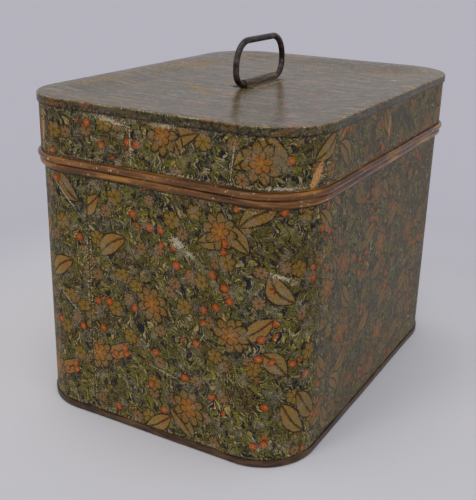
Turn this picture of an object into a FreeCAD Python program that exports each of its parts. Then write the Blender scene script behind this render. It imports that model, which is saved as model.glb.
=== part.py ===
import FreeCAD, Part
import math
import os

# A tin trunk: a folded sheet body with a slip-on lid, both covered in printed paper, and a
# wire ring handle that a rolled strap holds to the lid. Millimetres, +Z up, origin at the
# middle of the underside. A short side faces -Y, and the handle's bar runs along Y.

# Trunk
body_width = 300.0
body_depth = 414.0
trunk_height = 324.0
corner_radius = 56.0
tin = 0.5
layer_gap = 0.05
paper = 0.3

# Foot seam, where the bottom plate's edge is folded with the wall's
foot_seam_height = 5.5
foot_bend = 1.2
foot_margin = 20.0

# Stop bead swaged into the body, and the plain neck above it
bead_drop = 65.0
bead_bend = 3.6
bead_root_bend = 1.1
neck_height = 44.0
hem_width = 6.0

# Grooved seams that lock the two halves of a shell at the middle of the long sides
lock_width = 8.0
lock_end_gap = 4.0

# Lid
lid_wire_diameter = 5.0
lid_wire_clearance = 0.05
lid_wire_set = 1.0
lid_joggle_bend = 1.5
lid_neck_clearance = 0.4
lid_rest_gap = 0.3
rim_seam_height = 6.0
rim_bend = 1.2
rim_flat = 12.0
lid_sag = 4.0
panel_corner_radius = 4.0

# Handle, sizes to the middle of the wire
handle_wire_diameter = 6.4
handle_width = 102.0
handle_rise = 43.5
handle_limb = 5.0
handle_foot_bend = 14.5

# Strap over the handle's bar
strap_sheet = 1.0
strap_clearance = 0.15
strap_end_gap = 2.0
strap_foot_width = 8.0
strap_foot_bend = 1.0
bar_lift = 0.7
solder_leg = 1.2

# How far papers reach past the bend of a corner to their joints on the flat sides
body_paper_short_reach = 24.0
body_paper_long_reach = 31.0
lid_paper_short_reach = 12.0
lid_paper_long_reach = 4.0
paper_edge_gap = 0.4

# Points nearer than this are one point
same_point = 0.00001

# Offsets outwards from the outline of the body's outside face
layer = tin + layer_gap
wall = -tin / 2
curl = lid_wire_diameter / 2 + lid_wire_clearance + tin / 2
curl_outside = curl + tin / 2
wire_line = lid_neck_clearance + curl_outside
skirt = wire_line - lid_wire_set
bead_line = wall + bead_root_bend
panel_edge = panel_corner_radius - corner_radius

# Heights
foot_fold = layer + tin / 2
foot_cap = foot_fold + foot_seam_height + layer
foot_top = foot_cap + tin / 2
bead_height = trunk_height - bead_drop
bead_root = bead_height - bead_bend - bead_root_bend
mouth = bead_height + neck_height
rest_reach = bead_bend + tin / 2 + curl_outside + lid_rest_gap
wire_height = bead_height + math.sqrt(rest_reach ** 2 - (wire_line - bead_line) ** 2)
joggle = wire_height + curl * math.sqrt(2) - lid_wire_set
joggle_top = joggle + lid_joggle_bend
rim_plate = trunk_height - tin / 2
rim_fold = rim_plate - layer
rim_cap = rim_fold - rim_seam_height - layer
rim_bottom = rim_cap - tin / 2
panel_plate = rim_plate - lid_sag
panel_top = trunk_height - lid_sag
bar_height = panel_top + bar_lift + handle_wire_diameter / 2
handle_top_bend = handle_rise - handle_foot_bend - handle_limb
strap_length = handle_width - 2 * handle_foot_bend - 2 * strap_end_gap
strap_roll = handle_wire_diameter / 2 + strap_clearance + strap_sheet / 2
strap_reach = strap_roll + strap_sheet / 2 + strap_foot_width

UP = FreeCAD.Vector(0, 0, 1)
ACROSS = FreeCAD.Vector(1, 0, 0)
ALONG = FreeCAD.Vector(0, 1, 0)
ORIGIN = FreeCAD.Vector(0, 0, 0)


def in_plan(u, v):
    """Point of a drawing seen from above."""
    return FreeCAD.Vector(u, v, 0)


def in_section(u, v):
    """Point of a drawing in the XZ plane."""
    return FreeCAD.Vector(u, 0, v)


def in_ring(u, v):
    """Point of a drawing in the YZ plane."""
    return FreeCAD.Vector(0, u, v)


def bent_edges(path, shift, place):
    """Edges along a path of (u, v, bend) corners, moved to its left by shift."""
    steps = [(b[0] - a[0], b[1] - a[1]) for a, b in zip(path, path[1:])]
    ways = [(du / math.hypot(du, dv), dv / math.hypot(du, dv)) for du, dv in steps]
    edges = []
    last = None
    for i, (u, v, bend) in enumerate(path):
        before = ways[max(i - 1, 0)]
        after = ways[min(i, len(ways) - 1)]
        cosine = before[0] * after[0] + before[1] * after[1]
        sine = before[0] * after[1] - before[1] * after[0]
        half_turn = math.atan2(abs(sine), cosine) / 2
        out = shift / (1 + cosine)
        corner = (u - out * (before[1] + after[1]), v + out * (before[0] + after[0]))
        radius = bend - shift * math.copysign(1, sine) if bend else 0
        tangent = radius * math.tan(half_turn)
        start = (corner[0] - tangent * before[0], corner[1] - tangent * before[1])
        end = (corner[0] + tangent * after[0], corner[1] + tangent * after[1])
        if last and math.dist(last, start) > same_point:
            edges.append(Part.LineSegment(place(*last), place(*start)).toShape())
        if tangent:
            lean = (after[0] - before[0], after[1] - before[1])
            inward = (radius / math.cos(half_turn) - radius) / math.hypot(*lean)
            middle = (corner[0] + inward * lean[0], corner[1] + inward * lean[1])
            edges.append(Part.Arc(place(*start), place(*middle), place(*end)).toShape())
        last = end
    return edges


def end_of(edge_list, first):
    """First or last point of a run of edges."""
    edge = edge_list[0] if first else edge_list[-1]
    return edge.valueAt(edge.FirstParameter if first else edge.LastParameter)


def sheet_face(path, low, high, place):
    """Face of a bent sheet that lies from low to high on the left of its path."""
    left = bent_edges(path, high, place)
    right = bent_edges(path[::-1], -low, place)
    caps = [Part.LineSegment(end_of(a, False), end_of(b, True)).toShape()
            for a, b in ((left, right), (right, left))]
    return Part.Face(Part.Wire(left + caps[:1] + right + caps[1:]))


def sheet_section(path, low=-tin / 2, high=tin / 2):
    """Section of a sheet, by offset from the body's outline and height, ready to be lapped."""
    return sheet_face([(u + corner_radius, v, bend) for u, v, bend in path], low, high, in_section)


def joined(solids):
    """One solid from solids that meet face to face."""
    whole = solids[0].multiFuse(solids[1:]).removeSplitter()
    return whole.Solids[0]


def with_mirror(solid, normal):
    """A solid joined to its own mirror image across the middle."""
    return joined([solid, solid.mirror(ORIGIN, normal)])


def half_lap(section):
    """Solid of a section carried round the front half of the trunk's outline."""
    corner = FreeCAD.Vector(body_width / 2 - corner_radius, corner_radius - body_depth / 2, 0)
    side = section.translated(corner).extrude(-corner.y * ALONG)
    front = section.rotated(ORIGIN, UP, -90)
    bend = front.revolve(ORIGIN, UP, 90).translated(corner)
    run = front.translated(corner).extrude(-corner.x * ACROSS)
    return with_mirror(joined([side, bend, run]), ACROSS)


def full_lap(section):
    """Solid of a section carried once round the trunk's outline."""
    return with_mirror(half_lap(section), ALONG)


def plate(offset, low, high):
    """Flat plate inside the trunk's outline, which offset moves outwards."""
    width = body_width + 2 * offset
    depth = body_depth + 2 * offset
    block = Part.makeBox(width, depth, high - low, FreeCAD.Vector(-width / 2, -depth / 2, low))
    uprights = [e for e in block.Edges if abs(e.tangentAt(e.FirstParameter).z) > 0.5]
    return block.makeFillet(corner_radius + offset, uprights)


def lock_path(middle, hook):
    """Plan of half a shell, from one hook round two corners to the other hook."""
    side = body_width / 2 + middle
    end = body_depth / 2 + middle
    right = [(side, -end, corner_radius + middle)]
    right += [(side - depth * layer, along, 0) for depth, along in hook]
    return [(-u, v, bend) for u, v, bend in right[::-1]] + right


def shell_half(middle, lower, upper, lock_low, lock_high, hook):
    """Half of a folded shell: a plain locked wall between two lapped sections."""
    outline = sheet_face(lock_path(middle, hook), -tin / 2, tin / 2, in_plan)
    plain = outline.translated(lock_low * UP).extrude((lock_high - lock_low) * UP)
    return joined([plain, half_lap(lower), half_lap(upper)])


def shell_halves(middle, lower, upper, lock_low, lock_high):
    """Front and back half of a shell, hooked into each other in the middle of the long sides."""
    reach = lock_width / 2
    outer_hook = [(0, reach), (2, reach), (2, layer - reach)]
    inner_hook = [(0, -reach - layer), (3, -reach - layer), (3, reach), (1, reach), (1, layer - reach)]
    front = shell_half(middle, lower, upper, lock_low, lock_high, outer_hook)
    back = shell_half(middle, lower, upper, lock_low, lock_high, inner_hook)
    return front, back.mirror(ORIGIN, ALONG)


def body_walls():
    """Body wall in two halves, with foot fold, stop bead, neck and hemmed mouth."""
    lock_low = foot_top + lock_end_gap
    lock_high = bead_root - lock_end_gap
    bead_out = bead_line + bead_bend
    foot = [(wall, lock_low, 0), (wall, foot_fold, 0), (wall + 2 * layer, foot_fold, foot_bend - layer),
            (wall + 2 * layer, foot_fold + foot_seam_height, 0)]
    neck = [(wall, lock_high, 0), (wall, bead_height - bead_bend, bead_root_bend),
            (bead_out, bead_height - bead_bend, bead_bend), (bead_out, bead_height + bead_bend, bead_bend),
            (wall, bead_height + bead_bend, bead_root_bend), (wall, mouth - tin / 2, 0),
            (wall - layer, mouth - tin / 2, 0), (wall - layer, mouth - hem_width, 0)]
    return shell_halves(wall, sheet_section(foot), sheet_section(neck), lock_low, lock_high)


def body_bottom():
    """Bottom plate, whose edge turns up and hooks down inside the wall's foot fold."""
    rim = wall + 3 * layer
    edge = [(-foot_margin, tin / 2, 0), (rim, tin / 2, foot_bend), (rim, foot_cap, 0),
            (rim - 2 * layer, foot_cap, 0), (rim - 2 * layer, foot_fold + layer, 0)]
    return joined([full_lap(sheet_section(edge)), plate(-foot_margin, 0, tin)])


def lid_skirts():
    """Lid skirt in two halves, curled round the wire below and folded out at the rim above."""
    lock_low = joggle_top + lock_end_gap
    lock_high = rim_bottom - lock_end_gap
    inner = wire_line - curl
    outer = wire_line + curl
    curled = [(skirt, lock_low, 0), (skirt, joggle, lid_joggle_bend),
              (inner, wire_height + curl * math.tan(math.pi / 8), curl), (inner, wire_height - curl, curl),
              (outer, wire_height - curl, curl), (outer, wire_height + curl, curl),
              (wire_line, wire_height + curl, 0)]
    rim = [(skirt, lock_high, 0), (skirt, rim_fold, 0), (skirt + 2 * layer, rim_fold, rim_bend - layer),
           (skirt + 2 * layer, rim_fold - rim_seam_height, 0)]
    return shell_halves(skirt, sheet_section(curled), sheet_section(rim), lock_low, lock_high)


def lid_wire():
    """Stiffening wire inside the curl of the lid's lower edge."""
    middle = FreeCAD.Vector(corner_radius + wire_line, 0, wire_height)
    ring = Part.Wire(Part.makeCircle(lid_wire_diameter / 2, middle, ALONG))
    return full_lap(Part.Face(ring))


def dish_path(end):
    """Section of the lid's top, from its sunk panel up a double curve to the rim, then on."""
    start = skirt - rim_flat
    run = start - panel_edge
    tangent = (run ** 2 + lid_sag ** 2) / (4 * run)
    slope = math.atan2(lid_sag / 2, run / 2 - tangent)
    bend = tangent / math.tan(slope / 2)
    return [(panel_edge, panel_plate, 0), (panel_edge + tangent, panel_plate, bend),
            (start - tangent, rim_plate, bend), (skirt + 3 * layer, rim_plate, rim_bend)] + end


def lid_top():
    """Dished top plate, whose edge turns down and hooks up inside the skirt's rim fold."""
    rim = skirt + 3 * layer
    hook = [(rim, rim_cap, 0), (rim - 2 * layer, rim_cap, 0), (rim - 2 * layer, rim_fold - layer, 0)]
    edge = sheet_section(dish_path(hook))
    return joined([full_lap(edge), plate(panel_edge, panel_top - tin, panel_top)])


def lid_top_paper():
    """Paper on the lid's top, turned down over the rim seam and cut out round the strap."""
    path = dish_path([(skirt + 3 * layer, rim_bottom, 0)])
    edge = sheet_section(path, tin / 2, tin / 2 + paper)
    sheet = joined([full_lap(edge), plate(panel_edge, panel_top, panel_top + paper)])
    half_width = strap_reach + solder_leg + paper_edge_gap
    half_length = strap_length / 2 + paper_edge_gap
    hole = Part.makeBox(2 * half_width, 2 * half_length, 2 * paper,
                        FreeCAD.Vector(-half_width, -half_length, panel_top - paper / 2))
    return sheet.cut(hole)


def paper_wraps(offset, low, high, short_reach, long_reach):
    """Four papers, each wrapped round one corner from a short side to a long side."""
    side = body_width / 2
    end = body_depth / 2
    short_joint = side - corner_radius - short_reach
    long_joint = end - corner_radius - long_reach
    front = [(-short_joint, -end, 0), (side, -end, corner_radius), (side, -long_joint, 0)]
    right = [(side, -long_joint, 0), (side, end, corner_radius), (short_joint, end, 0)]
    wraps = []
    for path in (front, right):
        face = sheet_face(path, -offset - paper, -offset, in_plan)
        wraps.append(face.translated(low * UP).extrude((high - low) * UP))
    return wraps + [wrap.rotated(ORIGIN, UP, 180) for wrap in wraps]


def handle_ring():
    """Closed ring of round wire, with wide upper and tighter lower bends."""
    half = handle_width / 2
    top = bar_height + handle_rise
    path = [(0, bar_height, 0), (half, bar_height, handle_foot_bend), (half, top, handle_top_bend),
            (-half, top, handle_top_bend), (-half, bar_height, handle_foot_bend), (0, bar_height, 0)]
    start = FreeCAD.Vector(0, 0, bar_height)
    circle = Part.Wire(Part.makeCircle(handle_wire_diameter / 2, start, ALONG))
    return Part.Wire(bent_edges(path, 0, in_ring)).makePipeShell([circle], True, False)


def handle_strap():
    """Strap rolled over the handle's bar, with a flat foot on each side."""
    foot = panel_top + strap_sheet / 2
    crown = bar_height + strap_roll
    path = [(-strap_reach, foot, 0), (-strap_roll, foot, strap_foot_bend), (-strap_roll, crown, strap_roll),
            (strap_roll, crown, strap_roll), (strap_roll, foot, strap_foot_bend), (strap_reach, foot, 0)]
    face = sheet_face(path, -strap_sheet / 2, strap_sheet / 2, in_section)
    return face.translated(-strap_length / 2 * ALONG).extrude(strap_length * ALONG)


def strap_solder():
    """Fillets of solder along the outer edges of the strap's feet."""
    toe = FreeCAD.Vector(strap_reach + solder_leg, -strap_length / 2, panel_top)
    heel = FreeCAD.Vector(strap_reach, -strap_length / 2, panel_top)
    crest = heel + strap_sheet * UP
    fillet = Part.Face(Part.makePolygon([toe, heel, crest, toe])).extrude(strap_length * ALONG)
    return Part.makeCompound([fillet, fillet.mirror(ORIGIN, ACROSS)])


def parts():
    """Every node of the trunk, by name."""
    nodes = {}
    nodes["body_wall_front"], nodes["body_wall_back"] = body_walls()
    nodes["body_bottom"] = body_bottom()
    nodes["lid_skirt_front"], nodes["lid_skirt_back"] = lid_skirts()
    nodes["lid_wire"] = lid_wire()
    nodes["lid_top"] = lid_top()
    nodes["lid_paper_top"] = lid_top_paper()
    body_papers = paper_wraps(0, foot_top + paper_edge_gap, bead_root - paper_edge_gap,
                              body_paper_short_reach, body_paper_long_reach)
    lid_papers = paper_wraps(skirt + tin / 2, joggle_top + paper_edge_gap, rim_bottom - paper_edge_gap,
                             lid_paper_short_reach, lid_paper_long_reach)
    for side, body_sheet, lid_sheet in zip(("front", "right", "back", "left"), body_papers, lid_papers):
        nodes["body_paper_" + side] = body_sheet
        nodes["lid_paper_" + side] = lid_sheet
    nodes["handle_ring"] = handle_ring()
    nodes["handle_strap"] = handle_strap()
    nodes["strap_solder"] = strap_solder()
    return nodes


os.makedirs("parts", exist_ok=True)
for name, shape in parts().items():
    shape.exportStep("parts/" + name + ".step")
    print(name, len(shape.Solids), "solids", round(shape.Volume), "mm3", shape.isValid())
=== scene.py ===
"""Looks of a tin trunk: folded sheet covered in printed paper, a slip-on lid and a wire ring handle.

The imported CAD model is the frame. Sheets are carried round the trunk's outline by geometry nodes, in
the CAD's own sections, and stand for the CAD nodes one for one. Sizes are in millimetres, meshes in metres.
"""

import logging
import math
from collections.abc import Sequence
from dataclasses import dataclass, field
from enum import Enum

import bmesh
import bpy
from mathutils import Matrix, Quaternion, Vector


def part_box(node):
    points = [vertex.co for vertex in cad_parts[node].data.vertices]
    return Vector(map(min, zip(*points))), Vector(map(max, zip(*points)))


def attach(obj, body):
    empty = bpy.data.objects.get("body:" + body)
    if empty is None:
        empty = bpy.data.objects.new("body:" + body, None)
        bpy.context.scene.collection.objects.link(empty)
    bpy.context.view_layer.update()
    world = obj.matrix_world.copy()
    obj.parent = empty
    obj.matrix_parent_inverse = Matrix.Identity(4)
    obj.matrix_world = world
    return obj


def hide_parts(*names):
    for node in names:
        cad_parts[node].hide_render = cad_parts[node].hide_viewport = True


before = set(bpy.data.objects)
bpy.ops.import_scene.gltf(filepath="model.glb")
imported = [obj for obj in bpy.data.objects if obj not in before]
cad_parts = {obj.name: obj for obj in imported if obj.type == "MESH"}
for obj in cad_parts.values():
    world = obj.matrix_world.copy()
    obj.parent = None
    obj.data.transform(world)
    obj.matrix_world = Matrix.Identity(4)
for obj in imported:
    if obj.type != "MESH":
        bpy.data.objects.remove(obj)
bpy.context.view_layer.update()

MM = 0.001
# Points nearer than WELD are one point, and FAR lies past the end of every sheet.
WELD = 0.001 * MM
FAR = 1000.0
LOG = logging.getLogger("trunk")

Point = tuple[float, float]
Corner = tuple[float, float, float]
Ramp = tuple[float, float, float, float]
Piece = bpy.types.Object
Material = bpy.types.Material
Socket = bpy.types.NodeSocket


class Body(Enum):
    """Moving bodies of the trunk."""

    TRUNK = "trunk"
    LID = "lid"
    HANDLE = "handle"


class Slot(Enum):
    """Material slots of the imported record."""

    JAPANNED_TIN = "japanned_tin"
    PRINTED_PAPER = "printed_paper"
    IRON_WIRE = "iron_wire"
    HANDLE_IRON = "handle_iron"
    STRAP_TIN = "strap_tin"
    SOLDER = "solder"


class Wear(Enum):
    """What shows where a paper is hurt, as an sRGB colour."""

    CREAM_PAPER = "#C9BDA2"
    PALE_SCRATCH = "#BDB4A0"
    TAN_UNDERLAY = "#DA9C62"
    GREY_RUB = "#7C6C50"
    OCHRE_STREAK = "#A07E44"
    DARK_CREASE = "#4A4238"


def linear(colour: str) -> tuple[float, float, float, float]:
    """Turn an sRGB hex colour into linear light.

    Args:
        colour: Colour as #RRGGBB.

    Returns:
        Red, green, blue and alpha.
    """
    shares = [int(colour[i:i + 2], 16) / 255 for i in (1, 3, 5)]
    light = [c / 12.92 if c <= 0.04045 else ((c + 0.055) / 1.055) ** 2.4 for c in shares]
    return (*light, 1.0)


def add_node(tree: bpy.types.NodeTree, kind: str, links: Sequence | dict = (), out: int | str = 0,
             stops: Sequence[tuple[float, str]] = (), **settings) -> Socket:
    """Add a node with its settings and links.

    Args:
        tree: Tree that gets the node.
        kind: Identifier of the node's type.
        links: Socket or value for each input, in order or by the input's name or number.
        out: Output that is returned.
        stops: Places and colours of a colour ramp.
        settings: Properties of the node.

    Returns:
        The chosen output.
    """
    node = tree.nodes.new(kind)
    for name, value in settings.items():
        setattr(node, name, value)
    for key, value in (links.items() if isinstance(links, dict) else enumerate(links)):
        if isinstance(value, Socket):
            tree.links.new(value, node.inputs[key])
        elif value is not None:
            node.inputs[key].default_value = value
    if stops:
        ramp = node.color_ramp.elements
        while len(ramp) < len(stops):
            ramp.new(1.0)
        for element, (place, colour) in zip(ramp, stops):
            element.position = place
            element.color = linear(colour)
    return node.outputs[out] if node.outputs else None


def bent_line(corners: Sequence[Corner], shift: float, turn_step: float = math.radians(12)) -> list[Point]:
    """Points along a bent sheet's line, moved to its left.

    Args:
        corners: Corners as (u, v, bend radius).
        shift: Distance moved to the left of the line.
        turn_step: Turn between two points of a bend.

    Returns:
        Points of the line.
    """
    ways = []
    for a, b in zip(corners, corners[1:]):
        run = math.dist(a[:2], b[:2])
        ways.append(((b[0] - a[0]) / run, (b[1] - a[1]) / run))
    points: list[Point] = []
    for i, (u, v, bend) in enumerate(corners):
        before = ways[max(i - 1, 0)]
        after = ways[min(i, len(ways) - 1)]
        cosine = before[0] * after[0] + before[1] * after[1]
        sine = before[0] * after[1] - before[1] * after[0]
        turn = math.atan2(sine, cosine)
        out = shift / (1 + cosine)
        corner = (u - out * (before[1] + after[1]), v + out * (before[0] + after[0]))
        radius = bend - math.copysign(shift, sine * shift) if bend else 0
        tangent = radius * math.tan(abs(turn) / 2)
        steps = max(1, math.ceil(abs(turn) / turn_step)) if tangent else 0
        side = math.copysign(radius, turn)
        start = (corner[0] - tangent * before[0], corner[1] - tangent * before[1])
        middle = (start[0] - side * before[1], start[1] + side * before[0])
        heading = math.atan2(before[1], before[0])
        points += [corner] if not steps else [
            (middle[0] + side * math.sin(heading + turn * k / steps),
             middle[1] - side * math.cos(heading + turn * k / steps)) for k in range(steps + 1)]
    return points


def run_of(points: Sequence[Point]) -> float:
    """Length of a line through points."""
    return sum(math.dist(a, b) for a, b in zip(points, points[1:]))


@dataclass(frozen=True)
class Section:
    """Cross section of a bent sheet, by offset from the outline and height.

    The rise of a point is its run along the section, and the print follows it between the sheet's edges.
    Where the rise passes flat_from the sheet lies flat, and the print follows the plan. The lined stretch
    of the rise faces the trunk's inside.
    """

    points: list[Point]
    closed: bool = True
    rise_start: float = 0.0
    edges: Point = (-FAR, FAR)
    flat_from: float = FAR
    lined: Point = (0.0, 0.0)

    @classmethod
    def of_sheet(cls, corners: Sequence[Corner], low: float, high: float, curled: float = 0.0,
                 covered: float = 0.0) -> "Section":
        """Close a sheet's two faces into a section.

        Args:
            corners: Corners of the sheet's line.
            low: Face on the right of the line.
            high: Face on the left of the line, which is lined.
            curled: Run at the start of the lined face that is turned outwards.
            covered: Run of the other face, from the sheet's end, that is as bare as the lining.

        Returns:
            The section, whose rise starts near the end of the lined face.
        """
        face = bent_line(corners, high)
        start = -run_of(face) - abs(high - low) / 2
        return cls(face + bent_line(corners, low)[::-1], True, start, lined=(start + curled, covered))

    @classmethod
    def of_dish(cls, corners: Sequence[Corner], low: float, high: float, flat_from: float = FAR) -> "Section":
        """Open section of a dished sheet, from the panel along its under face and back along the upper.

        Args:
            corners: Corners of the sheet's line, from the panel outwards.
            low: Under face, to the left of the line.
            high: Upper face, to the left of the line.
            flat_from: Rise from which the sheet lies flat.

        Returns:
            The section, whose rise starts at the upper face's outer edge, and whose upper face is lined.
        """
        under = bent_line(corners, low)
        upper = bent_line(corners, high)[::-1]
        return cls(under + upper, False, -run_of(under) - abs(high - low), (0.0, FAR), flat_from, (0.0, FAR))


@dataclass(frozen=True)
class Outline:
    """Plan of the body's outside: a rectangle with round corners, walked from the middle of the front."""

    half_width: float
    half_depth: float
    corner: float
    flat_step: float = 6.0
    corner_step: float = 2.6

    def stretches(self) -> list[tuple[float, Point, float, bool]]:
        """Flats and corners in walking order: length, start or centre, heading, whether it is a corner."""
        across = self.half_width - self.corner
        along = self.half_depth - self.corner
        quarter = math.pi / 2
        bend = quarter * self.corner
        return [
            (across, (0, -self.half_depth), 0, False), (bend, (across, -along), 0, True),
            (2 * along, (self.half_width, -along), quarter, False), (bend, (across, along), quarter, True),
            (2 * across, (across, self.half_depth), 2 * quarter, False),
            (bend, (-across, along), 2 * quarter, True),
            (2 * along, (-self.half_width, along), 3 * quarter, False),
            (bend, (-across, -along), 3 * quarter, True),
            (across, (-across, -self.half_depth), 0, False)]

    def girth(self) -> float:
        """Length of the whole walk."""
        return sum(length for length, *_ in self.stretches())

    def point(self, lap: float) -> Point:
        """Point at a distance along the walk, which may run past either end.

        Args:
            lap: Distance from the middle of the front, to the right.

        Returns:
            The point in plan.
        """
        lap %= self.girth()
        for length, (x, y), heading, is_corner in self.stretches():
            if lap <= length:
                break
            lap -= length
        if is_corner:
            turned = heading + lap / self.corner
            return x + self.corner * math.sin(turned), y - self.corner * math.cos(turned)
        return x + lap * math.cos(heading), y + lap * math.sin(heading)

    def path(self, start: float, end: float) -> list[Point]:
        """Points from one lap to another, close together round the corners.

        Args:
            start: First lap.
            end: Last lap.

        Returns:
            Points in plan.
        """
        girth = self.girth()
        marks = [start, end]
        low = -girth
        while low < end:
            for length, _, _, is_corner in self.stretches():
                count = math.ceil(length / (self.corner_step if is_corner else self.flat_step))
                marks += [low + length * k / count for k in range(count)]
                low += length
        near = 0.2 * self.corner_step
        kept = sorted(m for m in marks if start + near < m < end - near)
        return [self.point(m) for m in (start, *kept, end)]

    def right_lap(self, y: float) -> float:
        """Lap of a point on the right long side."""
        return self.half_width - 2 * self.corner + math.pi / 2 * self.corner + self.half_depth + y


def put_in(name: str, data: bpy.types.ID) -> Piece:
    """Put an object with some data into the scene."""
    made = bpy.data.objects.new(name, data)
    bpy.context.scene.collection.objects.link(made)
    return made


def line_object(name: str, points: Sequence[tuple], closed: bool) -> Piece:
    """Poly curve that a tree reads and that is removed afterwards.

    Args:
        name: Name of the curve.
        points: Points in metres, with two or three coordinates.
        closed: Whether the line closes on itself.

    Returns:
        The curve's object.
    """
    curve = bpy.data.curves.new(name, "CURVE")
    curve.dimensions = "3D"
    spline = curve.splines.new("POLY")
    spline.points.add(len(points) - 1)
    for place, point in zip(spline.points, points):
        place.co = (*point, *[0.0] * (3 - len(point)), 1.0)
    spline.use_cyclic_u = closed
    return put_in(name, curve)


class FormingTree:
    """Geometry nodes with named inputs, run once for each piece that they form."""

    sockets: dict[str, str] = {}

    def __init__(self) -> None:
        """Make the tree with its inputs, then its nodes."""
        self.tree = bpy.data.node_groups.new(type(self).__name__, "GeometryNodeTree")
        for name, kind in self.sockets.items():
            self.tree.interface.new_socket(name, in_out="INPUT", socket_type="NodeSocket" + kind)
        self.tree.interface.new_socket("Geometry", in_out="OUTPUT", socket_type="NodeSocketGeometry")
        self.given = self.tree.nodes.new("NodeGroupInput").outputs
        made = self.form()
        dressed = self.add("GeometryNodeSetMaterial", {"Geometry": made, "Material": self.given["Finish"]})
        real = self.add("GeometryNodeRealizeInstances", [dressed])
        self.add("NodeGroupOutput", [real])

    def add(self, kind: str, links: Sequence | dict = (), out: int | str = 0, **settings) -> Socket:
        """Add a node to this tree."""
        return add_node(self.tree, kind, links, out, **settings)

    def form(self) -> Socket:
        """Build the nodes and return their geometry."""
        raise NotImplementedError

    def keep(self, geometry: Socket, name: str, value: Socket, kind: str, domain: str = "POINT") -> Socket:
        """Store a value on geometry under a name, for later nodes and the finish."""
        return self.add("GeometryNodeStoreNamedAttribute", {"Geometry": geometry, "Name": name, "Value": value},
                        data_type=kind, domain=domain)

    def run(self, name: str, **values) -> Piece:
        """Form one piece as a plain mesh.

        Args:
            name: Name of the piece.
            values: Inputs by name, with underscores for spaces.

        Returns:
            The piece, with no modifier left.
        """
        piece = put_in(name, bpy.data.meshes.new(name))
        modifier = piece.modifiers.new("forming", "NODES")
        modifier.node_group = self.tree
        given = {key.replace("_", " "): value for key, value in values.items()}
        for item in self.tree.interface.items_tree:
            if item.in_out == "INPUT" and item.name in given:
                modifier[item.identifier] = given[item.name]
        depsgraph = bpy.context.evaluated_depsgraph_get()
        mesh = bpy.data.meshes.new_from_object(piece.evaluated_get(depsgraph), preserve_all_data_layers=True,
                                               depsgraph=depsgraph)
        piece.modifiers.remove(modifier)
        piece.data = mesh
        mesh.name = name
        for line in [v for v in values.values() if isinstance(v, Piece)]:
            bpy.data.objects.remove(line)
        return piece


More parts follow.
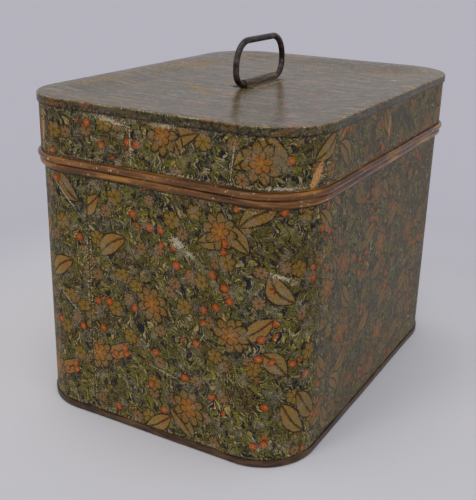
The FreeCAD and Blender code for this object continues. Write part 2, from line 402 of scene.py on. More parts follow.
class LapTree(FormingTree):
    """Carries a sheet's section along a path, with the slight waves of hand-bent tin."""

    sizes = ("Lap Start", "Ring", "Rise Start", "Low Edge", "High Edge", "Flat From", "Lined From", "Lined To",
             "Wave Height", "Wave Length", "Wobble", "Wobble Length")
    sockets = {"Path": "Object", "Section": "Object", **dict.fromkeys(sizes, "Float"), "Print Shift": "Vector",
               "Finish": "Material"}

    def form(self) -> Socket:
        """Sweep the section, keep where each point lies on the sheet, then bend it out of true."""
        add, given = self.add, self.given
        path = add("GeometryNodeObjectInfo", {"Object": given["Path"]}, "Geometry")
        section = add("GeometryNodeObjectInfo", {"Object": given["Section"]}, "Geometry")
        path = add("GeometryNodeSetCurveNormal", [path], mode="Z_UP")
        run = add("GeometryNodeSplineParameter", out="Length")
        whole = add("GeometryNodeCurveLength", [path])
        rest = add("ShaderNodeMath", [whole, run], operation="SUBTRACT")
        end = add("ShaderNodeMath", [run, rest], operation="MINIMUM")
        end = add("ShaderNodeMath", [end, given["Ring"]], operation="ADD")
        path = self.keep(path, "end", end, "FLOAT")
        lap = add("ShaderNodeMath", [run, given["Lap Start"]], operation="ADD")
        path = self.keep(path, "lap", lap, "FLOAT")
        path = self.keep(path, "outward", add("GeometryNodeInputNormal"), "FLOAT_VECTOR")
        rise = add("ShaderNodeMath", [run, given["Rise Start"]], operation="ADD")
        below = add("ShaderNodeMath", [given["High Edge"], rise], operation="SUBTRACT")
        above = add("ShaderNodeMath", [rise, given["Low Edge"]], operation="SUBTRACT")
        side = add("ShaderNodeMath", [above, below], operation="MINIMUM")
        lined = add("ShaderNodeMath", [rise, given["Lined From"]], operation="GREATER_THAN")
        short = add("ShaderNodeMath", [rise, given["Lined To"]], operation="LESS_THAN")
        lined = add("ShaderNodeMath", [lined, short], operation="MULTIPLY")
        for name, value in (("rise", rise), ("side", side), ("lined", lined)):
            section = self.keep(section, name, value, "FLOAT")
        mesh = add("GeometryNodeCurveToMesh", {"Curve": path, "Profile Curve": section, "Fill Caps": True})
        stored = {name: add("GeometryNodeInputNamedAttribute", [name], data_type=kind)
                  for name, kind in (("lap", "FLOAT"), ("rise", "FLOAT"), ("end", "FLOAT"), ("side", "FLOAT"),
                                     ("outward", "FLOAT_VECTOR"))}
        edge = add("ShaderNodeMath", [stored["end"], stored["side"]], operation="MINIMUM")
        mesh = self.keep(mesh, "edge", edge, "FLOAT")
        place = add("GeometryNodeInputPosition")
        plan = add("ShaderNodeVectorMath", [place, (1, 1, 0)], operation="MULTIPLY")
        wrapped = add("ShaderNodeCombineXYZ", [stored["lap"], stored["rise"]])
        is_flat = add("FunctionNodeCompare", [stored["rise"], given["Flat From"]], operation="GREATER_THAN")
        on_sheet = add("GeometryNodeSwitch", [is_flat, wrapped, plan], input_type="VECTOR")
        shifted = add("ShaderNodeVectorMath", [on_sheet, given["Print Shift"]], operation="ADD")
        mesh = self.keep(mesh, "place", on_sheet, "FLOAT2", "CORNER")
        mesh = self.keep(mesh, "print", shifted, "FLOAT2", "CORNER")
        broad = add("ShaderNodeVectorMath", [plan, given["Wave Length"]], operation="DIVIDE")
        wave = add("ShaderNodeTexNoise", {"Vector": broad, "Scale": 1.0, "Detail": 1.0})
        # A noise keeps to about the middle half of its range.
        height = add("ShaderNodeMapRange", {"Value": wave, 1: 0.25, 2: 0.75, 3: -1.0, 4: 1.0})
        height = add("ShaderNodeMath", [height, given["Wave Height"]], operation="MULTIPLY")
        offset = add("ShaderNodeVectorMath", {0: stored["outward"], "Scale": height}, operation="SCALE")
        fine = add("ShaderNodeVectorMath", [place, given["Wobble Length"]], operation="DIVIDE")
        wobble = add("ShaderNodeTexNoise", {"Vector": fine, "Scale": 1.0, "Detail": 2.0}, "Color")
        wobble = add("ShaderNodeVectorMath", [wobble, (0.5, 0.5, 0.5)], operation="SUBTRACT")
        wobble = add("ShaderNodeVectorMath", {0: wobble, "Scale": given["Wobble"]}, operation="SCALE")
        offset = add("ShaderNodeVectorMath", [offset, wobble], operation="ADD")
        mesh = add("GeometryNodeSetPosition", {"Geometry": mesh, "Offset": offset})
        return add("GeometryNodeMergeByDistance", {"Geometry": mesh, "Distance": WELD})


class WireTree(FormingTree):
    """Draws round wire along a closed path, with the small flats and pits of worked iron."""

    sockets = {"Path": "Object", "Diameter": "Float", "Pit": "Float", "Pit Length": "Float", "Finish": "Material"}
    sides = 28

    def form(self) -> Socket:
        """Sweep a circle and roughen it along its own normals."""
        add, given = self.add, self.given
        path = add("GeometryNodeObjectInfo", {"Object": given["Path"]}, "Geometry")
        path = self.keep(path, "lap", add("GeometryNodeSplineParameter", out="Length"), "FLOAT")
        radius = add("ShaderNodeMath", [given["Diameter"], 0.5], operation="MULTIPLY")
        ring = add("GeometryNodeCurvePrimitiveCircle", {"Resolution": self.sides, "Radius": radius})
        mesh = add("GeometryNodeCurveToMesh", {"Curve": path, "Profile Curve": ring})
        spot = add("ShaderNodeVectorMath", [add("GeometryNodeInputPosition"), given["Pit Length"]],
                   operation="DIVIDE")
        pits = add("ShaderNodeTexNoise", {"Vector": spot, "Scale": 1.0, "Detail": 3.0})
        depth = add("ShaderNodeMath", [pits, 0.5], operation="SUBTRACT")
        depth = add("ShaderNodeMath", [depth, given["Pit"]], operation="MULTIPLY")
        outward = add("GeometryNodeInputNormal")
        offset = add("ShaderNodeVectorMath", {0: outward, "Scale": depth}, operation="SCALE")
        return add("GeometryNodeSetPosition", {"Geometry": mesh, "Offset": offset})


def shade(piece: Piece, sharp: float = 40.0) -> None:
    """Turn a piece's faces outwards and smooth all but its folds.

    Args:
        piece: Piece with a closed mesh.
        sharp: Turn between two faces, in degrees, that stays an edge.
    """
    made = bmesh.new()
    made.from_mesh(piece.data)
    bmesh.ops.recalc_face_normals(made, faces=made.faces)
    made.to_mesh(piece.data)
    made.free()
    piece.data.shade_smooth()
    piece.data.set_sharp_from_angle(angle=math.radians(sharp))


def join(pieces: Sequence[Piece]) -> None:
    """Join pieces into the first of them."""
    with bpy.context.temp_override(active_object=pieces[0], selected_editable_objects=list(pieces)):
        bpy.ops.object.join()


def hand_in(piece: Piece, body: Body, slot: Slot, *nodes: str) -> None:
    """Let a piece ride on its body in place of CAD nodes.

    Args:
        piece: Finished piece.
        body: Body that it moves with.
        slot: Material slot of the record; not used.
        nodes: CAD nodes that it stands for.
    """
    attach(piece, body.value)
    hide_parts(*nodes)
    LOG.info("%s rides on %s: %d faces", piece.name, body.value, len(piece.data.polygons))


class Painter:
    """Nodes of one material, and the coats of colour that are laid over one another in it."""

    def __init__(self, name: str) -> None:
        """Start a material with no nodes."""
        self.material = bpy.data.materials.new(name)
        self.material.use_nodes = True
        self.tree = self.material.node_tree
        self.tree.nodes.clear()

    def add(self, kind: str, links: Sequence | dict = (), out: int | str = 0, **settings) -> Socket:
        """Add a shader node to the material."""
        return add_node(self.tree, "ShaderNode" + kind, links, out, **settings)

    def place(self, layer: str) -> Socket:
        """Place on the sheet in millimetres, from one of the piece's own maps."""
        return self.add("VectorMath", {0: self.add("UVMap", uv_map=layer), "Scale": 1 / MM}, operation="SCALE")

    def distance(self, name: str) -> Socket:
        """Distance in millimetres that the piece keeps under a name."""
        kept = self.add("Attribute", out="Fac", attribute_name=name)
        return self.add("Math", [kept, 1 / MM], operation="MULTIPLY")

    def coat(self, below: Socket | str, over: Socket | str, *masks: Socket | tuple[Socket, Ramp],
             blend: str = "MIX") -> Socket:
        """Lay a colour over another, as far as every mask lets it.

        Args:
            below: Colour that is covered, as a socket or in sRGB hex.
            over: Colour that is laid on, as a socket or in sRGB hex.
            masks: Shares that it covers, or levels with the ramps from two levels to the shares at them.
            blend: How the colours mix.

        Returns:
            The new colour.
        """
        cover: Socket | float = 1.0
        for mask in masks:
            share = self.add("MapRange", [mask[0], *mask[1]]) if isinstance(mask, tuple) else mask
            cover = share if cover == 1.0 else self.add("Math", [cover, share], operation="MULTIPLY")
        below, over = (linear(colour) if isinstance(colour, str) else colour for colour in (below, over))
        return self.add("Mix", {0: cover, 6: below, 7: over}, 2, data_type="RGBA", blend_type=blend)

    def stray(self, spot: Socket, size: float, detail: float, reach: float = 0.0) -> Socket:
        """Vectors that stray to all sides of nothing.

        Args:
            spot: Place on the sheet in millimetres.
            size: Size of the noise in millimetres.
            detail: Octaves of the noise.
            reach: How far the vectors reach in millimetres, or none for a plain noise.

        Returns:
            The vectors.
        """
        noise = self.add("TexNoise", {"Vector": spot, "Scale": 1 / size, "Detail": detail}, "Color")
        noise = self.add("VectorMath", [noise, (0.5, 0.5, 0.5)], operation="SUBTRACT")
        return self.add("VectorMath", [noise, (reach, reach, 0)], operation="MULTIPLY") if reach else noise

    def set_out(self, spot: Socket, drift: Socket, pull: float, lean: float, shift: Point, cell: Point,
                scatter: float) -> tuple[Socket, Socket]:
        """Set out one motif in each cell of a loose grid.

        Args:
            spot: Place on the sheet in millimetres.
            drift: Broad noise that bends the grid.
            pull: How far it bends the grid in millimetres.
            lean: Turn of the grid in degrees.
            shift: Shift of the grid for each degree of its turn.
            cell: Sizes of a cell in millimetres.
            scatter: How far the motifs stray from the cells' middles.

        Returns:
            Place in the nearest motif, in cells, and the first of its random numbers.
        """
        bend = self.add("VectorMath", [drift, (pull, pull, 0)], operation="MULTIPLY")
        bent = self.add("VectorMath", [spot, bend], operation="ADD")
        grid = self.add("Mapping", [bent, (shift[0] * lean, shift[1] * lean, 0), (0, 0, math.radians(lean)),
                                    (*cell, 1)], vector_type="TEXTURE")
        near = self.add("TexVoronoi", {"Vector": grid, "Scale": 1.0, "Randomness": scatter}, "Position",
                        voronoi_dimensions="2D")
        chance = self.add("SeparateColor", [near.node.outputs["Color"]])
        return self.add("VectorMath", [grid, near], operation="SUBTRACT"), chance

    def seal(self, bump: float, depth: float, height: Socket, **inputs) -> Material:
        """Close the material with its shader.

        Args:
            bump: Strength of the bump.
            depth: Depth of the bump in millimetres.
            height: Height of the surface.
            inputs: The shader's inputs, with underscores for spaces.

        Returns:
            The material.
        """
        normal = self.add("Bump", {"Strength": bump, "Distance": depth * MM, "Height": height})
        given = {key.replace("_", " "): value for key, value in inputs.items()}
        self.add("OutputMaterial", [self.add("BsdfPrincipled", {**given, "Normal": normal})])
        return self.material


@dataclass(frozen=True)
class Swirl:
    """Printed strokes that wind along the level lines of a noise: its size in millimetres, lines and colour."""

    size: float
    lines: float
    colour: str
    share: float
    stroke: Ramp = (0.1, 0.35, 0.0, 1.0)
    breaks: float = 2.6
    fade: float = 0.05

    def lay(self, paint: Painter, spot: Socket, below: Socket) -> Socket:
        """Print broken strokes that wind side by side.

        Args:
            paint: Painter of the material.
            spot: Place on the sheet in millimetres.
            below: Colour already printed.

        Returns:
            The colour with strokes.
        """
        add = paint.add
        wander = add("TexNoise", {"Vector": spot, "Scale": 1 / self.size, "Detail": 0.0}, noise_dimensions="2D")
        wave = add("Math", [add("Math", [wander, math.tau * self.lines], operation="MULTIPLY")], operation="SINE")
        broken = add("TexNoise", {"Vector": spot, "Scale": self.breaks / self.size, "Detail": 0.0},
                     noise_dimensions="2D")
        # Level past which the noise lets a larger or smaller share of the strokes stand.
        level = 0.7 - 0.4 * self.share
        return paint.coat(below, self.colour, (wave, self.stroke), (broken, (level, level + self.fade, 0.0, 1.0)))


@dataclass(frozen=True)
class Leaf:
    """A printed leaf: sizes of its cell in millimetres and its colours, with its shape in shares of the cell."""

    length: float
    width: float
    lean: float
    light: str
    dark: str
    share: float
    reach: float = 0.36
    line: str = "#0E111C"
    pull: float = 28.0
    tip: str = ""
    shift: Point = (7.3, 3.9)
    scatter: float = 0.8
    blush: Ramp = (-0.2, 0.4, 0.0, 0.9)
    sway: float = 1.2
    pointed: float = 1.9
    edge: float = 0.95
    rim: Point = (0.78, 0.86)
    rib: Ramp = (0.02, 0.04, 0.8, 0.0)
    vein_step: float = 2.4
    vein_slant: float = 1.3
    vein: Ramp = (-0.4, 0.6, 0.0, 1.0)
    tone: Point = (0.55, 0.2)

    def lay(self, paint: Painter, spot: Socket, drift: Socket, below: Socket) -> Socket:
        """Print a leaf to each cell of a scattered grid.

        Args:
            paint: Painter of the material.
            spot: Place on the sheet in millimetres.
            drift: Broad noise that turns the leaves' ways.
            below: Colour already printed.

        Returns:
            The colour with leaves.
        """
        add = paint.add
        local, chance = paint.set_out(spot, drift, self.pull, self.lean, self.shift, (self.length, self.width),
                                      self.scatter)
        x = add("SeparateXYZ", [local])
        bow = add("Math", [x, x], operation="MULTIPLY")
        sway = add("MapRange", [chance.node.outputs["Blue"], 0.0, 1.0, -self.sway, self.sway])
        y = add("Math", [bow, sway, x.node.outputs["Y"]], operation="MULTIPLY_ADD")
        y = add("Math", [y], operation="ABSOLUTE")
        out = add("Math", [bow, self.pointed, y], operation="MULTIPLY_ADD")
        there = add("Math", [chance, self.share], operation="LESS_THAN")
        slant = add("Math", [y, self.vein_slant * self.width / self.length, x], operation="MULTIPLY_ADD")
        slant = add("Math", [slant, math.tau * self.length / self.vein_step], operation="MULTIPLY")
        stripe = add("Math", [slant], operation="SINE")
        tone = add("Math", [chance.node.outputs["Green"], *self.tone], operation="MULTIPLY_ADD")
        colour: Socket | str = paint.coat(self.light, self.tip, (x, self.blush)) if self.tip else self.light
        colour = paint.coat(colour, self.dark, (stripe, self.vein), tone)
        rib = add("MapRange", [y, *self.rib])
        rim = add("MapRange", [out, self.reach * self.rim[0], self.reach * self.rim[1], 0.0, 1.0])
        colour = paint.coat(colour, self.line, add("Math", [rib, rim], operation="MAXIMUM"))
        return paint.coat(below, colour, (out, (self.reach, self.reach * self.edge, 0.0, 1.0)), there)


@dataclass(frozen=True)
class Bloom:
    """A printed flower: spacing and radius in millimetres, petals, and colours from its heart outwards."""

    spacing: float
    radius: float
    petals: int
    colours: tuple[str, str, str, str]
    share: float
    scatter: float
    lean: float = 0.0
    lobe: float = 0.3
    grouped: bool = False
    group_size: float = 34.0
    group_level: float = 0.58
    pull: float = 11.2
    shift: Point = (5.7, 2.1)
    edge: float = 0.95
    rings: tuple[float, float, float, float] = (0.14, 0.3, 0.82, 0.9)
    veins: float = 6.0
    vein: Ramp = (0.2, 0.9, 0.0, 0.35)
    gap: Ramp = (0.12, 0.3, 0.85, 0.0)
    gap_start: Ramp = (0.2, 0.35, 0.0, 1.0)

    def lay(self, paint: Painter, spot: Socket, drift: Socket, below: Socket) -> Socket:
        """Print a flower to each cell of a scattered grid.

        Args:
            paint: Painter of the material.
            spot: Place on the sheet in millimetres.
            drift: Broad noise that bends the petals.
            below: Colour already printed.

        Returns:
            The colour with flowers.
        """
        add = paint.add
        local, chance = paint.set_out(spot, drift, self.pull, self.lean, self.shift,
                                      (self.spacing, self.spacing), self.scatter)
        x = add("SeparateXYZ", [local])
        turn = add("Math", [x.node.outputs["Y"], x], operation="ARCTAN2")
        turn = add("Math", [chance.node.outputs["Blue"], math.tau, turn], operation="MULTIPLY_ADD")
        turn = add("Math", [turn, self.petals / 2], operation="MULTIPLY")
        petal = add("Math", [add("Math", [turn], operation="COSINE")], operation="ABSOLUTE")
        reach = add("Math", [petal, self.lobe, 1 - self.lobe], operation="MULTIPLY_ADD")
        away = add("VectorMath", [local], "Value", operation="LENGTH")
        away = add("Math", [away, self.spacing / self.radius], operation="MULTIPLY")
        out = add("Math", [away, reach], operation="DIVIDE")
        there = add("Math", [chance, self.share], operation="LESS_THAN")
        if self.grouped:
            group = add("TexNoise", {"Vector": spot, "Scale": 1 / self.group_size, "Detail": 0.0})
            group = add("Math", [group, self.group_level], operation="GREATER_THAN")
            there = add("Math", [there, group], operation="MULTIPLY")
        line = self.colours[-1]
        colour = add("ValToRGB", [out], stops=list(zip(self.rings, self.colours)))
        vein = add("Math", [add("Math", [turn, self.veins], operation="MULTIPLY")], operation="SINE")
        colour = paint.coat(colour, line, (vein, self.vein))
        if not self.grouped:
            colour = paint.coat(colour, line, (petal, self.gap), (out, self.gap_start))
        return paint.coat(below, colour, (out, (1.0, self.edge, 0.0, 1.0)), there)


@dataclass(frozen=True)
class Scar:
    """A hurt in the paper: its colour, middle on the sheet, half length, half width and lean."""

    wear: Wear
    along: float
    up: float
    length: float
    width: float
    lean: float = 0.0
    ragged: float = 0.5


SWIRLS = (
    Swirl(17, 9.0, "#525230", 0.75),
    Swirl(13, 7.0, "#66564A", 0.65),
    Swirl(21, 12.0, "#868230", 0.5),
)
FINE_LEAVES = (
    Leaf(11, 3.2, 25, "#58562E", "#343624", 0.6),
    Leaf(10, 3.0, -44, "#605E2E", "#383A24", 0.5),
)
BLADES = (
    Leaf(10, 2.0, 14, "#B0A23C", "#74722C", 0.5, 0.44),
    Leaf(9, 1.9, 67, "#A6A4A2", "#74706C", 0.38, 0.44),
    Leaf(9, 1.8, 143, "#D6C494", "#94845E", 0.3, 0.42),
    Leaf(11, 2.4, 102, "#111628", "#0C0F1A", 0.62, 0.44),
)
BROAD_LEAVES = (
    Leaf(13, 3.8, 146, "#66662C", "#383C22", 0.42),
    Leaf(15, 4.2, 38, "#6E6C32", "#3C4024", 0.36),
    Leaf(16, 4.6, -10, "#7A7A32", "#424824", 0.3),
    Leaf(19, 5.2, 96, "#8A8636", "#4A5026", 0.24),
)
PODS = (
    Leaf(54, 36, 34, "#9E8850", "#705A36", 0.26, 0.27, "#2C2018", 16.8, "#A46A30"),
    Leaf(58, 38, 131, "#947E50", "#685236", 0.24, 0.26, "#2C2018", 16.8, "#9A7636"),
)
SPRAY = Bloom(31, 14.0, 5, ("#50492C", "#786C36", "#625832", "#0E1018"), 0.45, 0.9, 71, 0.7)
SMALL_BLOOMS = (
    Bloom(29, 7.4, 8, ("#6A4426", "#9A7C58", "#84694C", "#241A16"), 0.55, 0.85, 15, 0.24),
    Bloom(38, 9.5, 6, ("#74522A", "#9A8036", "#8A7032", "#282016"), 0.45, 0.8, 40, 0.26),
)
LARGE_BLOOMS = (
    Bloom(86, 20.0, 8, ("#744C2A", "#9A783E", "#8A7044", "#2A1C12"), 0.66, 0.6, 20, 0.36),
    Bloom(86, 11.0, 6, ("#A89038", "#B06E30", "#A2743A", "#3A2416"), 0.66, 0.6, 20, 0.34),
)
HIPS = Bloom(13.5, 4.7, 2, ("#CE8644", "#C0642C", "#A44E24", "#2A1612"), 0.5, 0.8, 5, 0.1, True)


@dataclass(frozen=True)
class LeafyPrint:
    """Dense leafy print: colours of its bed and stems, and the sizes and reaches of its noises in millimetres."""

    ground: str = "#0E1220"
    ground_worn: str = "#1E222C"
    ground_size: float = 6.0
    ground_levels: Point = (0.3, 0.7)
    stem: str = "#94804A"
    stem_lines: tuple[Point, ...] = ((38.0, 0.5), (30.0, 0.42), (46.0, 0.58))
    stem_width: Ramp = (0.005, 0.009, 0.9, 0.0)
    bed_size: float = 46.0
    bed_tones: tuple[tuple[str, Ramp], ...] = (
        ("#46362E", (0.5, 0.64, 0.0, 0.42)), ("#2A323E", (0.47, 0.34, 0.0, 0.42)))
    drift_size: float = 60.0
    shake_size: float = 2.0
    shake_reach: float = 1.6
    curl_size: float = 10.0
    curl_reach: float = 11.0
    curl_share: float = 0.12

    def lay(self, paint: Painter, spot: Socket) -> Socket:
        """Print the bed, strokes, leaves, stems, pods and flowers over one another.

        Args:
            paint: Painter of the material.
            spot: Place on the printed sheet in millimetres.

        Returns:
            The print's colour.
        """
        add = paint.add
        drift = paint.stray(spot, self.drift_size, 1.0)
        shake = paint.stray(spot, self.shake_size, 2.0, self.shake_reach)
        curl = paint.stray(spot, self.curl_size, 0.0, self.curl_reach)
        bed = add("TexNoise", {"Vector": spot, "Scale": 1 / self.bed_size, "Detail": 1.0})
        spot = add("VectorMath", [spot, shake], operation="ADD")
        plain = add("VectorMath", [curl, (self.curl_share, self.curl_share, 0), spot], operation="MULTIPLY_ADD")
        spot = add("VectorMath", [spot, curl], operation="ADD")
        mottle = add("TexNoise", {"Vector": spot, "Scale": 1 / self.ground_size, "Detail": 3.0})
        colour = add("ValToRGB", [mottle], stops=list(zip(self.ground_levels, (self.ground, self.ground_worn))))
        for swirl in SWIRLS:
            colour = swirl.lay(paint, plain, colour)
        for leaf in FINE_LEAVES:
            colour = leaf.lay(paint, spot, drift, colour)
        for size, level in self.stem_lines:
            wander = add("TexNoise", {"Vector": spot, "Scale": 1 / size, "Detail": 0.0})
            away = add("Math", [add("Math", [wander, level], operation="SUBTRACT")], operation="ABSOLUTE")
            colour = paint.coat(colour, self.stem, (away, self.stem_width))
        for motif in (SPRAY, *BLADES, *BROAD_LEAVES):
            colour = motif.lay(paint, spot, drift, colour)
        for tone, ramp in self.bed_tones:
            colour = paint.coat(colour, tone, (bed, ramp))
        for motif in (*SMALL_BLOOMS, *PODS, *LARGE_BLOOMS, HIPS):
            colour = motif.lay(paint, plain, drift, colour)
        return colour


@dataclass(frozen=True)
class Ageing:
    """Wear of the papers: sizes of its noises in millimetres, its colours, and ramps from a level to a cover.

    The paper's grain, ink breaks and crazing are drawn coarser than they are, so that they show in the render.
    """

    broad_size: float = 48.0
    middle_size: float = 14.0
    fine_size: float = 2.2
    ink_size: float = 1.3
    cockle_size: float = 22.0
    varnish: str = "#E0D09C"
    varnish_tint: Ramp = (0.3, 0.7, 0.5, 1.0)
    rubbed: str = "#5E4C38"
    rub: Ramp = (0.52, 0.72, 0.0, 0.5)
    grain: Ramp = (0.28, 0.72, 0.6, 1.4)
    paper_brown: str = "#7E6A46"
    bare: Ramp = (0.56, 0.68, 0.0, 0.55)
    # Dark brown of grime, also used as painted shade along the paper's edges where they meet beads and rims.
    grime_and_shade: str = "#1C1610"
    pool: Ramp = (0.44, 0.34, 0.0, 0.65)
    craze: str = "#A69C88"
    craze_width: Ramp = (0.01, 0.035, 1.0, 0.0)
    craze_patches: Ramp = (0.52, 0.64, 0.0, 0.7)
    cream: str = "#C0AE86"
    fringe: Ramp = (0.0, 9.0, 0.16, 0.0)
    flake_patches: Ramp = (0.3, 0.7, -0.06, 0.06)
    flake: Ramp = (0.69, 0.74, 0.0, 0.85)
    edge_soil_and_shade: Ramp = (0.0, 1.6, 0.75, 0.0)
    # Where the film of dust and painted sheen lies along the girth, and its patches.
    film_and_sheen_start: Ramp = (165.0, 215.0, 0.0, 1.0)
    film_and_sheen_end: Ramp = (480.0, 530.0, 1.0, 0.0)
    film_and_sheen_patches: Ramp = (0.3, 0.7, 0.14, 0.42)
    dusty: str = "#423822"
    dust_spread: Point = (-0.2, 0.12)
    dust_rim: Ramp = (-1.0, 3.0, 0.15, 0.75)
    dust_panel: Ramp = (3.0, 40.0, 0.0, 0.25)
    streak: str = "#8C7240"
    streak_lean: float = -34.0
    streak_size: Point = (64.0, 5.5)
    streak_shine: Ramp = (0.53, 0.68, 0.0, 0.8)
    streak_dull: Ramp = (0.47, 0.32, 0.0, 0.6)
    band_darkening: Ramp = (-2.0, -0.5, 0.5, 0.0)
    fold_width: Ramp = (0.2, 1.8, 0.22, 0.0)
    fold_patches: Ramp = (0.36, 0.62, 0.0, 1.0)
    fold_worn: Ramp = (0.64, 0.76, 0.0, 0.7)
    torn: Ramp = (0.4, 0.56, 0.25, 0.9)
    tear_ragged: float = 9.0
    tear_edge: Ramp = (0.75, 0.95, 1.0, 0.0)
    hurt_depth: float = -0.8
    hurt_rough: float = 0.3


PRINT = LeafyPrint()
AGEING = Ageing()


@dataclass(frozen=True)
class PrintedPaper:
    """Block-printed paper, pasted on tin and varnished.

    The varnish has turned amber and gives a broad, soft gloss. The print is a dense leafy ground with
    pods, rosettes and small orange hips. Rubs, cracks and torn places show the paper's body.
    """

    name: str
    scars: tuple[Scar, ...] = ()
    dust: float = 0.0
    fold: float = 0.0
    # Colour of a film on the long sides, part dust and part painted sheen.
    film_and_sheen: str = ""
    ior: float = 1.5
    gloss: float = 0.14
    rough: Point = (0.38, 0.54)
    bump: float = 0.6
    bump_depth: float = 0.3

    def material(self) -> Material:
        """Build the material.

        Returns:
            The material, which reads the sheet's own maps and its distance to the sheet's edge.
        """
        paint = Painter(self.name)
        spot = paint.place("print")
        place = paint.place("place")
        colour, height, rough = self.age(paint, place, PRINT.lay(paint, spot))
        return paint.seal(self.bump, self.bump_depth, height, Base_Color=colour, Roughness=rough,
                          IOR=self.ior, Specular_IOR_Level=self.gloss)

    def age(self, paint: Painter, place: Socket, colour: Socket) -> tuple[Socket, Socket, Socket]:
        """Lay varnish, rubs, cracks, flakes, grime, painted shade along the edges, a film with painted sheen, and
        scars over the print.

        Args:
            paint: Painter of the material.
            place: Place on the trunk's side or top in millimetres.
            colour: The print's colour.

        Returns:
            The aged colour, the surface's height and its roughness.
        """
        add, wear = paint.add, AGEING
        broad = add("TexNoise", {"Vector": place, "Scale": 1 / wear.broad_size, "Detail": 4.0})
        middle = add("TexNoise", {"Vector": place, "Scale": 1 / wear.middle_size, "Detail": 6.0,
                                  "Roughness": 0.65})
        fine = add("TexNoise", {"Vector": place, "Scale": 1 / wear.fine_size, "Detail": 4.0, "Roughness": 0.7})
        colour = paint.coat(colour, wear.varnish, (broad, wear.varnish_tint), blend="MULTIPLY")
        colour = paint.coat(colour, wear.rubbed, (middle, wear.rub))
        colour = paint.coat(colour, add("MapRange", [fine, *wear.grain]), blend="MULTIPLY")
        ink = add("TexNoise", {"Vector": place, "Scale": 1 / wear.ink_size, "Detail": 2.0, "Roughness": 0.8})
        colour = paint.coat(colour, wear.paper_brown, (ink, wear.bare))
        colour = paint.coat(colour, wear.grime_and_shade, (ink, wear.pool))
        ragged = add("Math", [fine, 0.5], operation="SUBTRACT")
        crazed = add("Math", [ragged], operation="ABSOLUTE")
        colour = paint.coat(colour, wear.craze, (crazed, wear.craze_width), (middle, wear.craze_patches))
        edge = paint.distance("edge")
        flake = add("Math", [fine, add("MapRange", [edge, *wear.fringe])], operation="ADD")
        flake = add("Math", [flake, add("MapRange", [broad, *wear.flake_patches])], operation="ADD")
        flake = add("MapRange", [flake, *wear.flake])
        colour = paint.coat(colour, wear.cream, flake)
        # Darker along every edge of the paper: part grime, part painted shade of the gaps beside beads and rims.
        colour = paint.coat(colour, wear.grime_and_shade, (edge, wear.edge_soil_and_shade))
        # A grey film on the long sides, part dust and part painted sheen of their grazing gloss.
        if self.film_and_sheen:
            away = add("Math", [add("SeparateXYZ", [place])], operation="ABSOLUTE")
            colour = paint.coat(colour, self.film_and_sheen, (away, wear.film_and_sheen_start), (broad, wear.film_and_sheen_patches),
                                (away, wear.film_and_sheen_end))
        if self.dust:
            colour = self.settle_dust(paint, place, colour, (broad, middle, fine))
        colour, hurt = self.tear(paint, place, colour, flake, (ragged, add("MapRange", [ink, *wear.torn])))
        cockle = add("TexNoise", {"Vector": place, "Scale": 1 / wear.cockle_size, "Detail": 2.0})
        height = add("Math", [fine, 0.5, cockle], operation="MULTIPLY_ADD")
        height = add("Math", [hurt, wear.hurt_depth, height], operation="MULTIPLY_ADD")
        rough = add("MapRange", [middle, 0.3, 0.7, *self.rough])
        return colour, height, add("Math", [hurt, wear.hurt_rough, rough], operation="MULTIPLY_ADD")

    def settle_dust(self, paint: Painter, place: Socket, colour: Socket,
                    noises: tuple[Socket, Socket, Socket]) -> Socket:
        """Lay dust on a top, wipe it in streaks, darken the rim band below the fold, and wear the fold at its
        rim.

        Args:
            paint: Painter of the material.
            place: Place on the top in millimetres.
            colour: Colour under the dust.
            noises: Broad, middle and fine noise.

        Returns:
            The dusty colour.
        """
        add, wear = paint.add, AGEING
        broad, middle, fine = noises
        rise = paint.distance("rise")
        inwards = add("Math", [rise, self.fold], operation="SUBTRACT")
        cover = (0.3, 0.7, self.dust + wear.dust_spread[0], self.dust + wear.dust_spread[1])
        reach = add("MapRange", [inwards, *wear.dust_rim])
        reach = add("Math", [reach, add("MapRange", [inwards, *wear.dust_panel])], operation="ADD")
        colour = paint.coat(colour, wear.dusty, (middle, cover), reach)
        along, across = wear.streak_size
        wiped = add("Mapping", [place, None, (0, 0, math.radians(wear.streak_lean)), (1 / along, 1 / across, 1)])
        wiped = add("TexNoise", {"Vector": wiped, "Scale": 1.0, "Detail": 5.0, "Roughness": 0.65})
        colour = paint.coat(colour, wear.streak, (wiped, wear.streak_shine))
        colour = paint.coat(colour, wear.grime_and_shade, (wiped, wear.streak_dull))
        # The rim band below the fold is darkened.
        colour = paint.coat(colour, wear.grime_and_shade, (inwards, wear.band_darkening))
        worn = add("MapRange", [add("Math", [inwards], operation="ABSOLUTE"), *wear.fold_width])
        worn = add("Math", [worn, add("MapRange", [broad, *wear.fold_patches])], operation="MULTIPLY")
        worn = add("Math", [worn, fine], operation="ADD")
        return paint.coat(colour, wear.cream, (worn, wear.fold_worn))

    def tear(self, paint: Painter, place: Socket, colour: Socket, hurt: Socket,
             noises: tuple[Socket, Socket]) -> tuple[Socket, Socket]:
        """Lay the scars over the paper, one kind of wear after another.

        Args:
            paint: Painter of the material.
            place: Place on the trunk's side or top in millimetres.
            colour: The paper's colour.
            hurt: Where the paper is hurt already.
            noises: Noise that makes the scars' edges ragged, and their cover.

        Returns:
            The colour, and where the paper is hurt.
        """
        add = paint.add
        ragged, torn = noises
        for wear in Wear:
            bared: Socket | float = 0.0
            for scar in (scar for scar in self.scars if scar.wear is wear):
                local = add("Mapping", [place, (scar.along, scar.up, 0), (0, 0, math.radians(scar.lean)),
                                        (scar.length, scar.width, 1)], vector_type="TEXTURE")
                away = add("VectorMath", [local], "Value", operation="LENGTH")
                away = add("Math", [ragged, AGEING.tear_ragged * scar.ragged, away], operation="MULTIPLY_ADD")
                mask = add("MapRange", [away, *AGEING.tear_edge])
                bared = add("Math", [bared, mask], operation="MAXIMUM")
            if isinstance(bared, Socket):
                bared = add("Math", [bared, torn], operation="MULTIPLY")
                colour = paint.coat(colour, wear.value, bared)
                hurt = add("Math", [hurt, bared], operation="MAXIMUM")
        return colour, hurt


